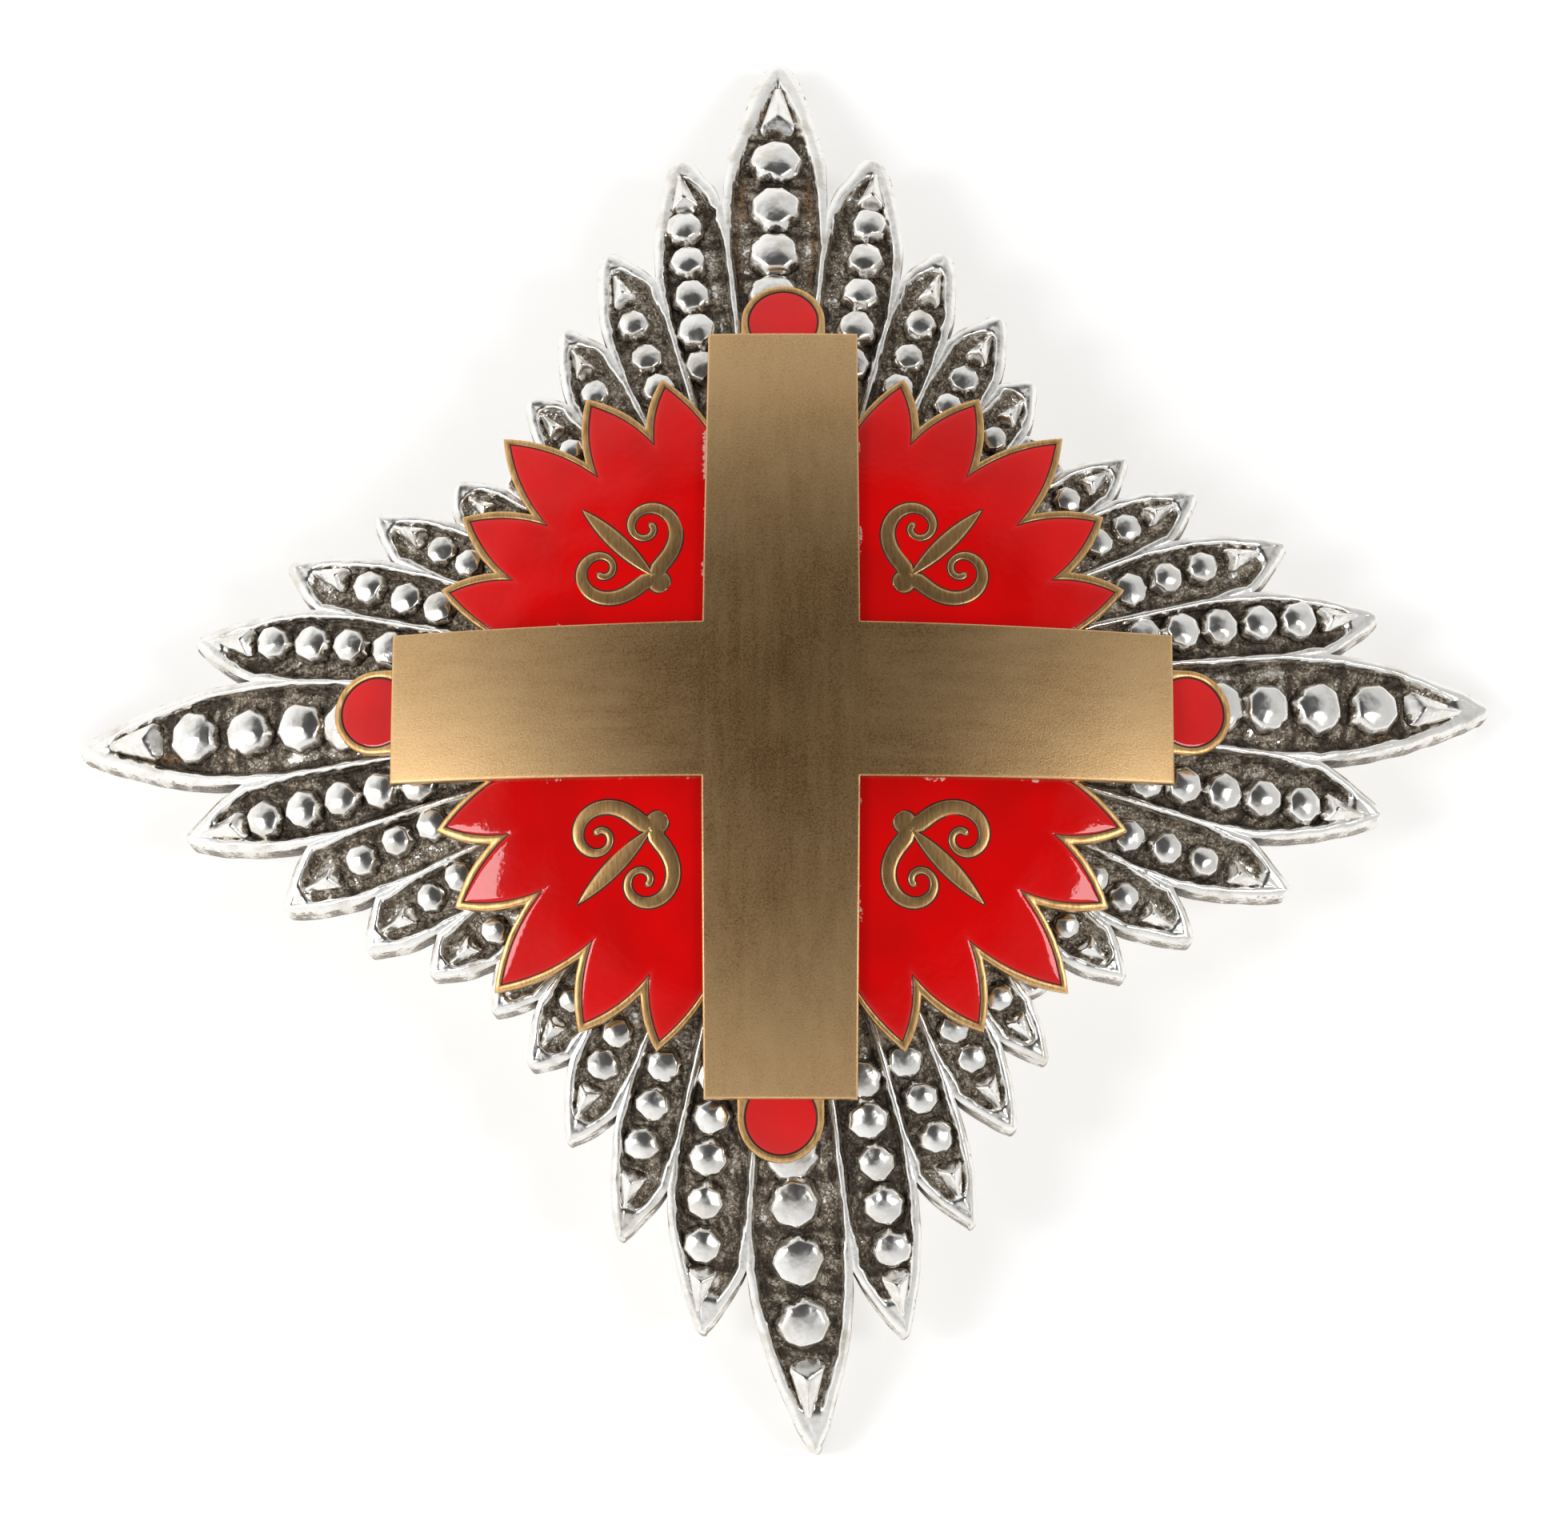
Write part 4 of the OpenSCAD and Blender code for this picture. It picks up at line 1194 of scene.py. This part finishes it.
@dataclass
class Plate:
    """The gilt plate with its ornaments, and the enamel in it.

    `top` is the height of the cross's top and `low` how far below the star's middle the plate was set.
    `cell` is the depth of the fields that hold the enamel. The insets are how far the enamel lies inside the
    plate's tips and notches, in gilt lines. Lobes and notches are angles from the quarter's middle, with
    shares of the reach.
    """

    top: float
    cross_dome_r: float = 80.6
    cross_t: float = 0.6
    fit_gap: float = 0.06
    reach: float = 23.55
    gilt_line: float = 0.37
    thick: float = 0.75
    cell: float = 0.35
    sink: float = 0.05
    sink_w: float = 0.10
    enamel_from: float = 4.0
    cross_half: float = 4.5
    tongue_reach: float = 26.45
    tongue_r: float = 2.5
    scroll_size: float = 6.6
    scroll_place: float = 0.55
    low: float = 0.25
    lobe_bow: float = 0.067
    tip_inset: float = 1.4
    notch_inset: float = 3.1
    steps: int = 14
    lobes: Pairs = ((-25.3, 0.909), (-13.35, 0.948), (0.0, 1.0), (13.35, 0.948), (25.3, 0.909))
    notches: Pairs = ((-32.1, 0.69), (-19.4, 0.797), (-6.8, 0.8), (6.8, 0.8), (19.4, 0.797), (32.1, 0.69))

    @property
    def radius(self) -> float:
        """Radius of the plate's upper dome."""
        return self.cross_dome_r - self.cross_t - self.fit_gap

    @property
    def disc_at(self) -> float:
        """Distance of the discs' middles from the star's middle."""
        return self.tongue_reach - self.tongue_r

    def dome_z(self, plan: np.ndarray) -> np.ndarray:
        """Height of the plate's upper dome over plan points."""
        square = (plan**2).sum(axis=-1)
        return self.top - self.cross_dome_r + np.sqrt(self.radius**2 - square)

    def lobe_line(self, quarter: int, tip_in: float, notch_in: float) -> np.ndarray:
        """Outline of one quarter's lobes: shallow arcs from notch to tip and on to the next notch.

        Args:
            quarter: number of the quarter, from the east side against the clock.
            tip_in: how far the tips are set in.
            notch_in: how far the notches are set in.

        Returns:
            Points (n, 2) from the east side of the quarter to its north side.
        """
        middle = 90.0 * quarter + 45.0
        tips = np.array([polar(middle + a, self.reach * r - tip_in) for a, r in self.lobes])
        feet = np.array([polar(middle + a, self.reach * r - notch_in) for a, r in self.notches])
        corners = np.empty((len(tips) + len(feet), 2))
        corners[0::2], corners[1::2] = feet, tips
        part = np.arange(self.steps)[None, :] / self.steps
        line = bow(corners[:-1, None], corners[1:, None], -self.lobe_bow, part)
        return np.concatenate([line.reshape(-1, 2), corners[-1:]])

    def enamel_line(self, quarter: int) -> np.ndarray:
        """Outline of one quarter's enamel, a gilt line inside the plate's."""
        return self.lobe_line(quarter, self.tip_inset * self.gilt_line, self.notch_inset * self.gilt_line)

    def lift(self, plan: np.ndarray, height: np.ndarray) -> np.ndarray:
        """Plan points at a height over the plate's dome, moved down to where the plate was set."""
        return raised(plan - [0.0, self.low], self.dome_z(plan) + height)

    def enamel_top(self, plan: np.ndarray, gap: np.ndarray, seed: int) -> np.ndarray:
        """The enamel's surface, lower along the gilt line by a falling exponential of the gap to it."""
        return self.lift(plan, -self.sink * np.exp(-gap / self.sink_w) + 0.012 * ripple(plan, 3.5, seed))

    def enamel_quarter(self, quarter: int) -> list[Grid]:
        """Enamel of one quarter: rows from the lines under the cross to the lobes' outline.

        A point is the mix of its column's inner and outer end.

        Args:
            quarter: number of the quarter.

        Returns:
            Mesh parts.
        """
        outer = self.enamel_line(quarter)
        turn = np.degrees(np.arctan2(outer[:, 1], outer[:, 0])) - 90.0 * quarter
        turn = (turn + 180.0) % 360.0 - 180.0
        reach = np.linalg.norm(outer, axis=1)
        inner = np.maximum(*(self.enamel_from / way(np.radians(turn)) for way in (np.cos, np.sin)))
        keep = inner < reach - 0.2
        outer, turn, reach, inner = outer[keep], turn[keep], reach[keep], inner[keep]
        from_edge = np.array([0.0, 0.1, 0.2, 0.32, 0.48, 0.7, 1.0])
        deep = np.linspace(0.0, 1.0, 34)[1:]
        span = (reach - inner)[None, :]
        most = span * 0.5 * np.linspace(0.0, 1.0, len(from_edge))[:, None]
        edge_rows = np.minimum(from_edge[:, None], most)
        rows = np.concatenate([edge_rows, edge_rows[-1:] + (span - edge_rows[-1:]) * deep[:, None]])[::-1]
        way = outer / reach[:, None]
        plan = way[None] * (reach[None] - rows)[..., None]
        gap = line_distance(plan.reshape(-1, 2), outer).reshape(plan.shape[:2])
        angle = np.degrees(np.arctan2(plan[..., 1], plan[..., 0]))
        turned = polar(-90.0 * quarter + angle, np.linalg.norm(plan, axis=-1))
        cross_gap = turned.min(axis=-1) - self.cross_half
        chip = smooth(1.0 - cross_gap / 0.8) * (0.75 + 0.35 * ripple(plan, 3.0, 51 + quarter))
        upper = self.enamel_top(plan, gap, 61 + quarter)
        lower = self.lift(plan, np.full(plan.shape[:2], self.fit_gap - self.cell))
        parts = [sheets(upper[None], chip=chip[None]), sheets(lower[None], flip=True)]
        number = np.arange(gap.size).reshape(gap.shape)
        ring = np.concatenate([number[side] for side in RIM_ORDER])
        high, low = upper.reshape(-1, 3)[ring], lower.reshape(-1, 3)[ring]
        parts.append(sheets(np.stack([low, high])[None], around=True))
        return parts

    def enamel_disc(self, quarter: int) -> list[Grid]:
        """Enamel of one round tongue: rings about its middle, sunk along the gilt line, and flat below.

        Args:
            quarter: number of the tongue, from the east one against the clock.

        Returns:
            Mesh parts.
        """
        share = np.concatenate([np.linspace(0.0, 0.86, 9), [0.91, 0.95, 0.98, 1.0]])
        rings = share * (self.tongue_r - self.gilt_line)
        turn = turns(72, 360.0)
        plan = polar(turn[None, :], rings[:, None]) + polar(90.0 * quarter, self.disc_at)
        gap = (rings[-1] - rings)[:, None] + np.zeros((1, len(turn)))
        upper = self.enamel_top(plan, gap, 71 + quarter)
        lower = self.lift(plan[::-1], np.full(plan.shape[:2], self.fit_gap - self.cell))
        place = np.concatenate([upper, lower])
        return [sheets(place[None], around=True)]

    def band(self, inner: np.ndarray, outer: np.ndarray, quarter_seed: int, around: bool) -> list[Grid]:
        """A gilt line with a softly rounded top, its brown seam on the enamel side, and its outer wall.

        Each point is the mix of the two outlines, with a few more columns past them, at a height from a
        profile.

        Args:
            inner: outline on the enamel side (n, 2).
            outer: outline on the outer side (n, 2).
            quarter_seed: which small unevenness.
            around: whether the line closes on itself.

        Returns:
            Mesh parts.
        """
        across = outer - inner
        way = unit(across, 1e-6)
        part = np.array([-0.0, 0.0, 0.0, 0.08, 0.25, 0.5, 0.78, 0.93, 1.0, 1.0, 1.0, 0.5, 0.0])
        extra = np.array([-0.09, -0.085, -0.012, 0.02, 0.0, 0.0, 0.0, 0.0, 0.0, 0.02, -0.03, 0.0, 0.0])
        crown = (-0.2, 0.008, 0.006, 0.022, 0.035, 0.04, 0.035, 0.02, -0.02, -0.10)
        height = np.array([*crown, *3 * [-self.thick]])
        line = np.array([1.0, 1.0, 1.0, 0.15, 0.0, 0.0, 0.0, 0.0, 0.0, 0.0, 0.25, 0.25, 0.25])
        plan = inner[:, None] + across[:, None] * part[None, :, None] + way[:, None] * extra[None, :, None]
        rough = 0.012 * ripple(plan, 1.1, 81 + quarter_seed) * (part > 0.01)
        place = self.lift(plan, height[None] + rough)
        seam = np.broadcast_to(line[None], place.shape[:2])
        if around:
            place, seam = np.concatenate([place, place[:1]]), np.concatenate([seam, seam[:1]])
        else:
            ends = [place[:1].mean(axis=1, keepdims=True), place[-1:].mean(axis=1, keepdims=True)]
            ends = [np.repeat(end, place.shape[1], axis=1) for end in ends]
            place = np.concatenate([ends[0], place, ends[1]])
            seam = np.concatenate([seam[:1], seam, seam[-1:]])
        return [sheets(place[None], around=True, flip=True, line=seam[None])]

    def tongue_band(self, quarter: int) -> list[Grid]:
        """The gilt ring round a disc, with straight sides back to under the cross.

        Args:
            quarter: number of the tongue.

        Returns:
            Mesh parts.
        """
        turn = np.linspace(-180.0, 180.0, 97)[:-1]
        radians = np.radians(turn)
        side = self.tongue_r / np.maximum(np.abs(np.sin(radians)), 1e-6)
        end = 3.2 / np.maximum(np.abs(np.cos(radians)), 1e-6)
        outer = np.where(np.abs(turn) <= 90.0, self.tongue_r, np.minimum(side, end))
        middle = polar(90.0 * quarter, self.disc_at)
        inner_line = polar(turn + 90.0 * quarter, self.tongue_r - self.gilt_line) + middle
        outer_line = polar(turn + 90.0 * quarter, outer) + middle
        return self.band(inner_line, outer_line, 4 + quarter, True)

    def strip(self, spine: np.ndarray, half: np.ndarray) -> list[Grid]:
        """A line of the ornament: a flat strip with rounded shoulders and a brown seam on both sides.

        Args:
            spine: middle line (n, 2).
            half: half width along it (n,).

        Returns:
            Mesh parts.
        """
        ahead = unit(np.gradient(spine, axis=0))
        side = np.stack([ahead[:, 1], -ahead[:, 0]], axis=-1)
        seam = 0.085
        share = np.array([-1.0, -1.0, -1.0, -0.93, -0.6, 0.0, 0.6, 0.93, 1.0, 1.0, 1.0])
        extra = np.array([-seam, -seam, -0.01, 0.0, 0.0, 0.0, 0.0, 0.0, 0.01, seam, seam])
        height = np.array([-0.2, 0.010, 0.008, 0.030, 0.040, 0.045, 0.040, 0.030, 0.008, 0.010, -0.2])
        line = np.array([1.0, 1.0, 1.0, 0.1, 0.0, 0.0, 0.0, 0.1, 1.0, 1.0, 1.0])
        half = np.maximum(half, 0.003)
        wide = half[:, None] * share[None] + extra[None]
        plan = spine[:, None] + side[:, None] * wide[..., None]
        ends = [plan[:1].mean(axis=1, keepdims=True), plan[-1:].mean(axis=1, keepdims=True)]
        step = [-ahead[0] * (half[0] + seam), ahead[-1] * (half[-1] + seam)]
        caps = [np.repeat(end + reach, plan.shape[1], axis=1) for end, reach in zip(ends, step)]
        plan = np.concatenate([caps[0], plan, caps[1]])
        # The caps' rows lie at the height of the seam and are brown like it
        level, mark = (
            np.pad(np.repeat(row[None], len(spine), axis=0), ((1, 1), (0, 0)), constant_values=at_caps)
            for row, at_caps in ((height, 0.009), (line, 1.0))
        )
        return [sheets(self.lift(plan, level)[None], around=True, line=mark[None])]

    def ornament(self, quarter: int) -> list[Grid]:
        """The scroll ornament: two volutes from one base, a bud between them and a round base.

        Args:
            quarter: number of the quarter.

        Returns:
            Mesh parts.
        """
        parts: list[Grid] = []
        part = np.linspace(0.0, 1.0, 64)
        winding = polar(-125.0 + 470.0 * part, 0.5 + (0.05 - 0.5) * part**0.35)
        spine = self.scroll_size * (np.array([0.275, 0.02]) + winding)
        half = self.scroll_size * (0.072 + (0.026 - 0.072) * np.minimum(1.0, 1.6 * part))
        place = polar(90.0 * quarter + 45.0, self.scroll_place * self.reach)
        turn = math.radians(90.0 * quarter - 45.0)
        spin = np.array([[math.cos(turn), math.sin(turn)], [-math.sin(turn), math.cos(turn)]])
        for sign in (1.0, -1.0):
            arm = spine * [sign, 1.0]
            order = slice(None) if sign > 0 else slice(None, None, -1)
            parts += self.strip((arm @ spin + place)[order], half[order])
        up = np.linspace(-0.36, 0.56, 30)
        part = np.linspace(0.0, 1.0, 30)
        bud_half = 0.92 * self.scroll_size * 4.0 * 0.08 * part * (1.0 - part)
        bud = np.stack([np.zeros(30), up * self.scroll_size], axis=-1)
        parts += self.strip(bud @ spin + place, bud_half)
        base = np.linspace(-1.0, 1.0, 15)
        ball = np.stack([np.zeros(15), (-0.43 + 0.1 * base) * self.scroll_size], axis=-1)
        ball_half = 0.1 * self.scroll_size * np.sqrt(np.maximum(1.0 - base**2, 0.0))
        parts += self.strip(ball @ spin + place, ball_half)
        return parts

    def slab(self) -> list[Grid]:
        """The plate under the enamel: rings from the middle to the outline, and a lower side."""
        turn = turns(360, 360.0)
        lines = np.concatenate([self.lobe_line(q, 0.5, 0.35) for q in range(4)])
        angle = np.degrees(np.arctan2(lines[:, 1], lines[:, 0])) % 360.0
        order = np.argsort(angle)
        reach = np.interp(turn, angle[order], np.linalg.norm(lines, axis=1)[order], period=360.0)
        folded = np.abs((turn + 45.0) % 90.0 - 45.0)
        aside = self.disc_at * np.sin(np.radians(folded))
        inner_r = self.tongue_r - 0.3
        beyond = np.sqrt(np.maximum(inner_r**2 - aside**2, 0.0))
        round_end = self.disc_at * np.cos(np.radians(folded)) + beyond
        tongue = np.where(aside < inner_r, round_end, 0.0)
        reach = np.maximum(reach, tongue)
        rings = np.linspace(0.0, 1.0, 9)
        plan = polar(turn[None, :], rings[:, None] * reach[None, :])
        upper = self.lift(plan, np.full(plan.shape[:2], -self.cell))
        lower = self.lift(plan[::-1], np.full(plan.shape[:2], -self.thick))
        return [sheets(np.concatenate([upper, lower])[None], around=True)]

    def build(self, gilt: GiltMetal, enamel: RedEnamel) -> list[bpy.types.Object]:
        """Make the plate with its lines and ornaments, and each enamel field.

        Args:
            gilt: finish of the plate.
            enamel: finish of the enamel.

        Returns:
            The new objects.
        """
        parts = self.slab()
        for quarter in range(4):
            parts += self.band(self.enamel_line(quarter), self.lobe_line(quarter, 0.0, 0.0), quarter, False)
            parts += self.tongue_band(quarter)
            parts += self.ornament(quarter)
        pieces = [make_piece("gilt_lines", parts, gilt.material(), ("gilt_plate",))]
        red = enamel.material()
        fields = (("quarter", QUARTERS, self.enamel_quarter), ("disc", TONGUES, self.enamel_disc))
        for kind, names, grids_of in fields:
            for quarter, name in enumerate(names):
                node = f"enamel_{kind}_{name}"
                pieces.append(make_piece(f"red_{kind}_{name}", grids_of(quarter), red, (node,)))
        return pieces


# The cross and the pin


@dataclass
class BrassCross:
    """The plain cross over the plate."""

    top: float
    arm: float = 22.95
    root_w: float = 9.2
    end_w: float = 8.9
    thick: float = 0.6
    dome_r: float = 80.6
    low: float = 0.25
    bevel: float = 0.09

    def plan(self, arm: np.ndarray, across: np.ndarray) -> np.ndarray:
        """Plan points of the plus: the width of an arm changes evenly from its root to its end.

        Args:
            arm: first coordinate before the taper.
            across: second coordinate before the taper.

        Returns:
            Points, last axis xy.
        """
        root, end = self.root_w / 2.0, self.end_w / 2.0
        taper_x = 1.0 + (end / root - 1.0) * np.clip((np.abs(across) - root) / (self.arm - root), 0.0, 1.0)
        taper_y = 1.0 + (end / root - 1.0) * np.clip((np.abs(arm) - root) / (self.arm - root), 0.0, 1.0)
        return np.stack([arm * taper_x, across * taper_y], axis=-1)

    def build(self, finish: BrushedBrass) -> list[bpy.types.Object]:
        """Make the cross: one grid with only the plus's cells, a dome above and below and walls round it.

        Args:
            finish: the brass's finish.

        Returns:
            The new object, in a list.
        """
        root, reach = self.root_w / 2.0, self.arm
        close = np.array([0.0, 0.03, 0.07, 0.14, 0.3])
        even = np.linspace(-reach + 0.8, -root - 0.5, 20)
        wide = np.linspace(-root + 0.7, root - 0.7, 9)
        stops = np.concatenate([-reach + close, even, -root + close, wide])
        stops = np.unique(np.round(np.concatenate([stops, -stops]), 5))
        one, two = np.meshgrid(stops, stops, indexing="ij")
        plan = self.plan(one, two)
        edge = self.edge_gap(plan)
        rounding = 1.0 - (1.0 - np.clip(edge / self.bevel, 0.0, 1.0)) ** 2
        drop = self.bevel * (1.0 - np.sqrt(np.clip(rounding, 0.0, 1.0)))
        distance = (plan**2).sum(axis=-1)
        high = self.top - self.dome_r + np.sqrt(self.dome_r**2 - distance) - drop
        low = self.top - self.dome_r + np.sqrt((self.dome_r - self.thick) ** 2 - distance)
        faces = grid_faces(len(stops), len(stops))
        # The plus's cells have their middle within an arm's half width of an axis
        middles = [np.abs(stop.reshape(-1)[faces].mean(axis=1)) for stop in (one, two)]
        faces = faces[np.minimum(*middles) < root]
        # How near a point is to an arm's end, where the brass paints a highlight of the lamps
        end = smooth((np.maximum(np.abs(one), np.abs(two)) - 3.0) / 18.0)
        lay = (np.abs(two) > np.abs(one) - 0.01).astype(float)
        lay = np.where(np.abs(one) <= root + 1e-6, 1.0, np.where(np.abs(two) <= root + 1e-6, 0.0, lay))
        values = {"end": end.reshape(-1), "lay": lay.reshape(-1)}
        plan = plan - [0.0, self.low]
        upper, lower = (raised(plan, height).reshape(-1, 3) for height in (high, low))
        parts = [(upper, faces, values), (lower, faces[:, ::-1], dict(values))]
        parts.append(self.side_walls(upper, lower, faces, values))
        grids = [self.used(part) for part in parts]
        return [make_piece("brass_cross_sheet", grids, finish.material(), ("brass_cross",))]

    def edge_gap(self, plan: np.ndarray) -> np.ndarray:
        """Distance of plan points from the cross's outline.

        Args:
            plan: points, last axis xy.

        Returns:
            Distances.
        """
        root, end, reach = self.root_w / 2.0, self.end_w / 2.0, self.arm
        corners = [np.array([[reach, -end], [reach, end], [root, root]])]
        for _ in range(3):
            corners.append(corners[-1][:, ::-1] * [-1.0, 1.0])
        line = np.concatenate([*corners, corners[0][:1]])
        return line_distance(plan.reshape(-1, 2), line).reshape(plan.shape[:-1])

    def side_walls(self, upper: np.ndarray, lower: np.ndarray, faces: np.ndarray, values: dict) -> Grid:
        """Upright faces under every edge that only one face has.

        Args:
            upper: places of the upper side (n, 3).
            lower: places of the lower side (n, 3).
            faces: corner numbers of the upper side (m, 4).
            values: named numbers of the upper side (n,).

        Returns:
            The mesh part.
        """
        sides = np.stack([faces, np.roll(faces, -1, axis=1)], axis=-1).reshape(-1, 2)
        key = np.sort(sides, axis=1)
        _, number, count = np.unique(key, axis=0, return_inverse=True, return_counts=True)
        rim = sides[count[number.reshape(-1)] == 1]
        total = len(upper)
        walls = np.stack([rim[:, 1], rim[:, 0], rim[:, 0] + total, rim[:, 1] + total], axis=-1)
        both = {name: np.concatenate([value, value]) for name, value in values.items()}
        return np.concatenate([upper, lower]), walls, both

    def used(self, part: Grid) -> Grid:
        """The part with only the points that its faces use.

        Args:
            part: a mesh part.

        Returns:
            The smaller mesh part.
        """
        place, faces, values = part
        kept, number = np.unique(faces, return_inverse=True)
        values = {name: value[kept] for name, value in values.items()}
        return place[kept], number.reshape(faces.shape), values


@dataclass
class BroochPin:
    """The pin on the back: a wire between two feet that are soldered on."""

    star: CastStar
    wire_d: float = 1.1
    span: float = 38.0
    clear: float = 4.2
    foot_w: float = 3.0
    foot_long: float = 2.6

    def build(self, finish: DrawnWire) -> list[bpy.types.Object]:
        """Make the wire with round ends and two feet that widen where they meet the star's back.

        Args:
            finish: the wire's finish.

        Returns:
            The new object, in a list.
        """
        at = self.span / 2.0
        back = float(self.star.rim_z(np.array(at))) - self.star.wall
        wire_z = back - self.clear - self.wire_d / 2.0
        turn = turns(32)
        cap = np.linspace(0.0, math.pi / 2.0, 6)
        end = at + self.foot_long / 2.0
        start = -end + 0.3 - 0.3 * np.cos(cap)
        along = np.concatenate([start, np.linspace(-end + 0.6, end - 0.6, 30), -start[::-1]])
        wide = np.concatenate([np.sin(cap), np.ones(30), np.sin(cap[::-1])]) * self.wire_d / 2.0
        ring = np.stack([np.sin(turn), np.cos(turn)], axis=-1)
        x = wide[:, None] * ring[None, :, 0]
        z = wire_z + wide[:, None] * ring[None, :, 1]
        y = np.repeat(along[:, None], len(turn), axis=1)
        parts = [sheets(np.stack([x, y, z], axis=-1)[None], around=True)]
        for side in (1.0, -1.0):
            parts.append(self.foot(side * at, wire_z))
        return [make_piece("brooch_pin_wire", parts, finish.material(), ("brooch_pin",))]

    def foot(self, at: float, wire_z: float) -> Grid:
        """One foot: rounded squares stacked from under the wire to the star's back, wider at the top.

        The section is a superellipse of power 5, |x/a|^5 + |y/b|^5 = 1.

        Args:
            at: where the foot stands along y.
            wire_z: height of the wire's middle line.

        Returns:
            The mesh part.
        """
        turn = turns(40)
        level = np.array([0.0, 0.0, 0.03, 0.10, 0.5, 0.80, 0.93, 1.0, 1.0])
        wide = np.array([0.0, 0.92, 0.98, 1.0, 1.0, 1.0, 1.06, 1.22, 0.0])
        power = 2.0 / 5.0
        cos, sin = np.cos(turn), np.sin(turn)
        x = np.sign(cos) * np.abs(cos) ** power * self.foot_w / 2.0
        y = np.sign(sin) * np.abs(sin) ** power * self.foot_long / 2.0
        plan = np.stack([wide[:, None] * x[None], at + wide[:, None] * y[None]], axis=-1)
        distance = np.linalg.norm(plan, axis=-1)
        high = self.star.rim_z(distance) - self.star.wall + 0.02
        low = wire_z - self.wire_d
        return sheets(raised(plan, low + (high - low) * level[:, None])[None], around=True)


# The studio


@dataclass
class Studio:
    """A pale floor, soft light from two sides and above, and the camera."""

    top: float
    floor_colour: str = "#F4F3F1"
    dark_tilt: float = 9.0
    sky_tones: Pairs = ((0.2, 0.98), (0.62, 0.84), (0.75, 0.64), (0.83, 0.38), (0.90, 0.06))
    floor_half: float = 3.0
    lamp_far: float = 0.6
    lens_mm: float = 98.3
    sensor_mm: float = 36.0
    camera_at: tuple[float, float, float] = (3.55, -53.01, 242.1)

    def floor(self) -> None:
        """Lay a wide pale floor."""
        mesh = bpy.data.meshes.new("studio_floor")
        half = self.floor_half
        corners = [(-half, -half, 0.0), (half, -half, 0.0), (half, half, 0.0), (-half, half, 0.0)]
        mesh.from_pydata(corners, [], [(0, 1, 2, 3)])
        material, add, _ = new_material("studio_floor_paint")
        paint = {"Base Color": linear(self.floor_colour), "Roughness": 0.9}
        glow = {"Emission Color": grey(1.0), "Emission Strength": 0.40}
        add("OutputMaterial", {}, {"Surface": add("BsdfPrincipled", paint | glow)})
        mesh.materials.append(material)
        floor = add_object("studio_floor", mesh)

    def sky(self) -> None:
        """White surroundings, brighter on the left and dark straight above, where the camera stands."""
        world = bpy.data.worlds.new("studio_surroundings")
        bpy.context.scene.world = world
        world.use_nodes = True
        world.node_tree.nodes.clear()
        add = partial(add_node, world.node_tree)
        way = add("TexCoord", {}, out="Generated")
        tilt = {"rotation_type": "X_AXIS", "Angle": math.radians(self.dark_tilt)}
        tilted = add("VectorRotate", tilt, {0: way})
        height = add("SeparateXYZ", {}, {0: tilted}, "Z")
        tones = [(at, grey(level)) for at, level in self.sky_tones]
        tone = add("ValToRGB", {"stops": tones}, {"Fac": height})
        side = add("Math", {"operation": "MULTIPLY_ADD", 1: -0.3, 2: 1.0}, {0: height.node.outputs["X"]})
        add("OutputWorld", {}, {"Surface": add("Background", {}, {"Color": tone, "Strength": side})})

    def lamp(
        self, name: str, azimuth: float, elevation: float, size: tuple[float, float], power: float
    ) -> None:
        """Hang a soft box near the star.

        Args:
            name: the lamp's name.
            azimuth: direction in degrees, 0 to the right and 90 to the top of the picture.
            elevation: degrees over the floor.
            size: width and height in metres.
            power: watts.
        """
        light = bpy.data.lights.new(name, "AREA")
        light.shape = "RECTANGLE"
        light.size, light.size_y = size
        light.energy = power
        holder = add_object(name, light)
        around, over = math.radians(azimuth), math.radians(elevation)
        side = np.array([-math.sin(around), math.cos(around), 0.0])
        level = np.array([math.cos(around), math.sin(around), 0.0])
        out = level * math.cos(over) + [0.0, 0.0, math.sin(over)]
        matrix = np.eye(4)
        matrix[:3, 0], matrix[:3, 1], matrix[:3, 2] = side, np.cross(out, side), out
        matrix[:3, 3] = out * self.lamp_far
        holder.matrix_world = Matrix(matrix.tolist())

    def camera(self) -> None:
        """Stand the camera above the star, a little below its middle, turned as the picture shows."""
        lens = bpy.data.cameras.new("camera")
        lens.lens = self.lens_mm
        lens.sensor_width = self.sensor_mm
        lens.sensor_fit = "HORIZONTAL"
        lens.clip_start, lens.clip_end = 0.01, 10.0
        holder = add_object("camera", lens)
        axes = ((0.999907, 0.0027, -0.013343), (0.0, 0.98013, 0.19834), (0.013613, -0.198322, 0.980039))
        x, y, over_top = self.camera_at
        place = (x * MM, y * MM, (self.top + over_top) * MM)
        rows = [[axes[0][i], axes[1][i], axes[2][i], place[i]] for i in range(3)]
        holder.matrix_world = Matrix([*rows, [0.0, 0.0, 0.0, 1.0]])
        bpy.context.scene.camera = holder

    def build(self) -> None:
        """Set up floor, light and camera."""
        self.floor()
        self.sky()
        self.lamp("soft_box_left", 192.0, 51.0, (0.14, 0.18), 0.56)
        self.lamp("soft_box_right", -12.0, 51.0, (0.14, 0.18), 0.52)
        self.camera()
        bpy.context.scene.view_settings.view_transform = "Standard"


def main() -> None:
    """Build the star's pieces in order, then the studio."""
    logging.basicConfig(level=logging.INFO, format="%(message)s")
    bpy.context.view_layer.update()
    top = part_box("brass_cross")[1][2] / MM
    star = CastStar()
    pieces = star.build(SilveredCasting())
    pieces += Plate(top).build(GiltMetal(), RedEnamel())
    pieces += BrassCross(top).build(BrushedBrass())
    pieces += BroochPin(star).build(DrawnWire())
    Studio(top).build()
    log.info("%d pieces", len(pieces))


if __name__ == "__main__":
    main()
